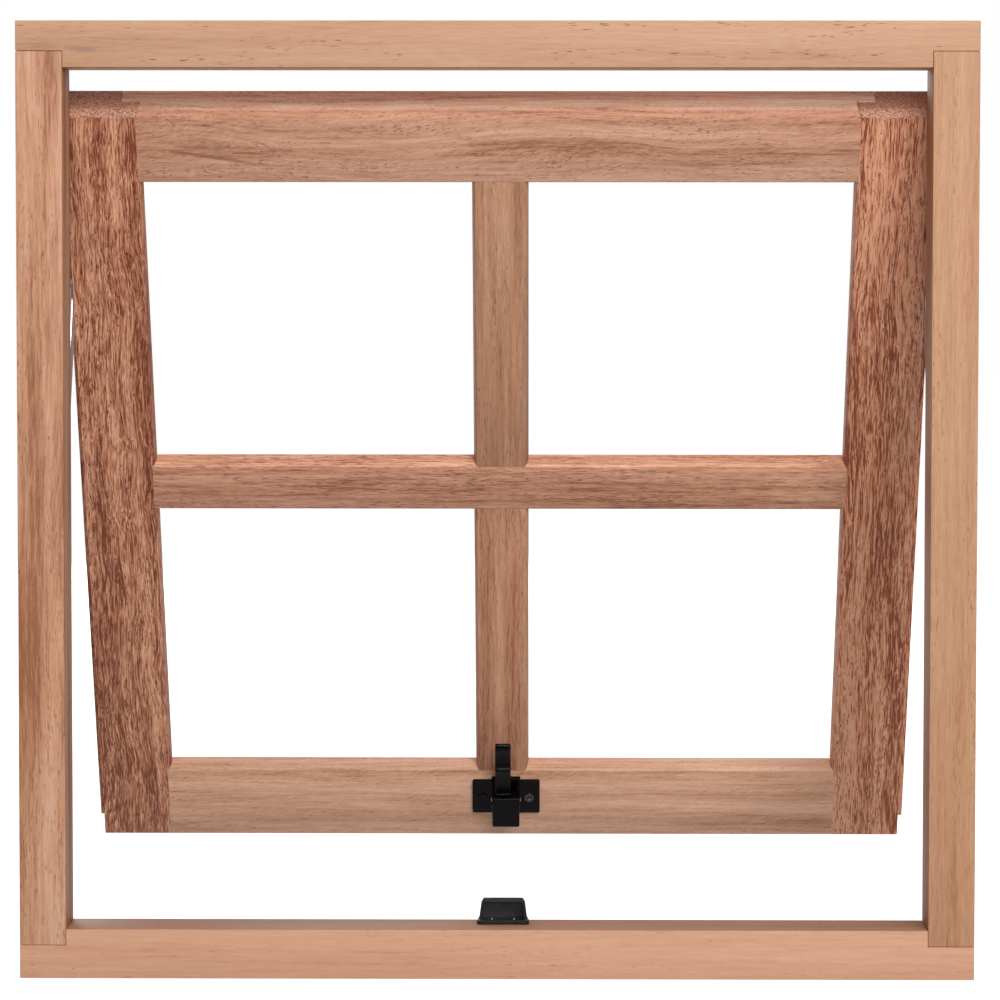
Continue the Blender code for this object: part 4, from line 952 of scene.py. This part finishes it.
class Screws(bpy.types.Operator):
    """All the countersunk screws, each kind modelled once and copied."""
    bl_idname = "timber_window.screws"
    bl_label = "Screws"

    def execute(self, context):
        frame_screw = screw_template("frame_screw", FRAME_SCREW)
        stay_screw = screw_template("stay_screw", STAY_SCREW)
        latch_screw = screw_template("latch_screw", LATCH_SCREW)
        gap = 0.2 * MM
        spots = []
        places = ((HALF_WIDTH - (HALF_WIDTH - JAMB_INNER) / 2, (ROOM + STOP_BACK) / 2, "room"),
                  ((HALF_WIDTH + REBATE_X) / 2, (STOP_BACK + OUTSIDE) / 2, "outer"))
        for side, name in SIDES:
            for x, y, where in places:
                spots.append((f"head_screw_{name}_{where}", aimed((side * x, y, TOP), (0, 0, 1)), ["frame_head"]))
                spots.append((f"sill_screw_{name}_{where}", aimed((side * x, y, 0), (0, 0, -1)), ["frame_sill"]))
        screws_in(frame_screw, FRAME_SCREW, spots, gap, "root", "zinc", MADE)
        for side, name in SIDES:
            tracks = [(f"track_screw_{name}_{i}", aimed((side * TRACK_BASE, FRAME_PIVOT.y, z * MM), (-side, 0, 0)),
                       [f"stay_track_{name}"]) for i, z in ((1, 530), (2, 425), (3, 345))]
            screws_in(stay_screw, STAY_SCREW, tracks, gap, "root", "zinc", MADE)
            bars = [(f"bar_screw_{name}_{i}", SASH_PLACE @ aimed((side * HALF_SASH, 0, z * MM), (side, 0, 0)),
                     [f"stay_bar_{name}"]) for i, z in ((1, 82), (2, 42), (3, -48))]
            screws_in(stay_screw, STAY_SCREW, bars, gap, "sash", "zinc", MADE)
            ears = [(f"latch_screw_{name}", LATCH_PLACE @ aimed((side * 16 * MM, PLATE_FRONT, -3 * MM), (0, -1, 0)),
                     ["latch_bracket"])]
            screws_in(latch_screw, LATCH_SCREW, ears, gap, "sash", "black_screw", MADE)
            low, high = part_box(f"keeper_screw_{name}")
            spot = ((low.x + high.x) / 2, (low.y + high.y) / 2, KEEPER_FLANGE)
            screws_in(latch_screw, LATCH_SCREW, [(f"keeper_screw_{name}", aimed(spot, (0, 0, 1)), ["latch_keeper"])],
                      gap, "root", "black_screw", MADE)
        for template in (frame_screw, stay_screw, latch_screw):
            bpy.data.objects.remove(template, do_unlink=True)
        return {"FINISHED"}


class Studio(bpy.types.Operator):
    """Pale floor, soft light and the camera."""
    bl_idname = "timber_window.studio"
    bl_label = "Studio"

    def execute(self, context):
        scene = context.scene
        colours = scene.window_colours
        bpy.ops.object.select_all(action="DESELECT")
        bpy.ops.mesh.primitive_circle_add(vertices=96, radius=STAGE_RADIUS, fill_type="NGON",
                                          location=(0, 0, CAD_LOW.z - 0.5 * MM))
        floor = context.object
        floor.name = "studio_floor"
        material, _, shader = new_material("floor_matt_white_paint", Roughness=0.9, Specular_IOR_Level=0.1,
                                           Base_Color=tuple(colours.floor), Emission_Color=(1, 1, 1, 1),
                                           Emission_Strength=0.78)
        floor.data.materials.append(material)
        # The surroundings light the underside evenly, in place of the floor
        floor.visible_diffuse = False

        world = bpy.data.worlds.new("soft_surroundings")
        scene.world = world
        world.use_nodes = True
        tree = world.node_tree
        tree.nodes.clear()
        path = node(tree, "ShaderNodeLightPath")
        light = node(tree, "ShaderNodeBackground", {"Color": tuple(colours.sky), "Strength": 0.28})
        seen = node(tree, "ShaderNodeBackground", {"Color": tuple(colours.sky), "Strength": 1.0})
        mixed = node(tree, "ShaderNodeMixShader", {0: path.outputs["Is Camera Ray"], 1: light.outputs[0],
                                                   2: seen.outputs[0]})
        node(tree, "ShaderNodeOutputWorld", {"Surface": mixed.outputs[0]})

        target = Vector((0, 0, (CAD_LOW.z + CAD_HIGH.z) / 2))
        for name, spot, size, power in (("front_softbox", (0.7, -3.1, 1.8), 1.7, 88),
                                        ("glint_lamp", (0.25, -1.6, 2.3), 0.35, 40),
                                        ("back_softbox", (-0.8, 3.4, 1.2), 2.0, 42)):
            lamp = bpy.data.lights.new(name, "AREA")
            lamp.shape = "SQUARE"
            lamp.size = size
            lamp.energy = power
            holder = bpy.data.objects.new(name, lamp)
            scene.collection.objects.link(holder)
            holder.location = spot
            # The small lamp draws highlights on the black metal, and doesn't light matt faces
            holder.visible_diffuse = name != "glint_lamp"
            holder.rotation_euler = (target - Vector(spot)).to_track_quat("-Z", "Y").to_euler()

        camera = bpy.data.cameras.new("room_camera")
        camera.lens = scene.window_sizes.lens
        camera.sensor_width = 36
        camera.clip_start = 0.05
        camera.clip_end = 60
        holder = bpy.data.objects.new("room_camera", camera)
        scene.collection.objects.link(holder)
        pitch, heading, roll = math.radians(3.17), 0.0090, 0.0008
        turn = Euler((math.pi / 2 - pitch, 0, heading)).to_matrix() @ Matrix.Rotation(roll, 3, "Z")
        holder.location = (0.02585, -2.7044, 0.44915)
        holder.rotation_euler = turn.to_euler()
        scene.camera = holder
        scene.view_settings.view_transform = "Standard"
        return {"FINISHED"}


class WindowPanel(bpy.types.Panel):
    """Buttons for each piece, in the sidebar"""
    bl_label = "Timber window"
    bl_idname = "VIEW3D_PT_timber_window"
    bl_space_type = "VIEW_3D"
    bl_region_type = "UI"
    bl_category = "Window"

    def draw(self, context):
        for name in WindowSizes.__annotations__:
            self.layout.prop(context.scene.window_sizes, name)
        for name in WindowColours.__annotations__:
            self.layout.prop(context.scene.window_colours, name)
        for operator in OPERATORS:
            self.layout.operator(operator.bl_idname)


OPERATORS = (OuterFrame, SashTimber, SideStays, Latch, Keeper, Screws, Studio)
CLASSES = (WindowSizes, WindowColours, *OPERATORS, WindowPanel)


def register():
    for item in CLASSES:
        bpy.utils.register_class(item)
    bpy.types.Scene.window_sizes = PointerProperty(type=WindowSizes)
    bpy.types.Scene.window_colours = PointerProperty(type=WindowColours)


def unregister():
    del bpy.types.Scene.window_colours
    del bpy.types.Scene.window_sizes
    for item in reversed(CLASSES):
        bpy.utils.unregister_class(item)


def main():
    register()
    bpy.ops.timber_window.outer_frame()
    bpy.ops.timber_window.sash_timber()
    bpy.ops.timber_window.side_stays()
    bpy.ops.timber_window.latch()
    bpy.ops.timber_window.keeper()
    bpy.ops.timber_window.screws()
    bpy.ops.timber_window.studio()


if __name__ == "__main__":
    main()
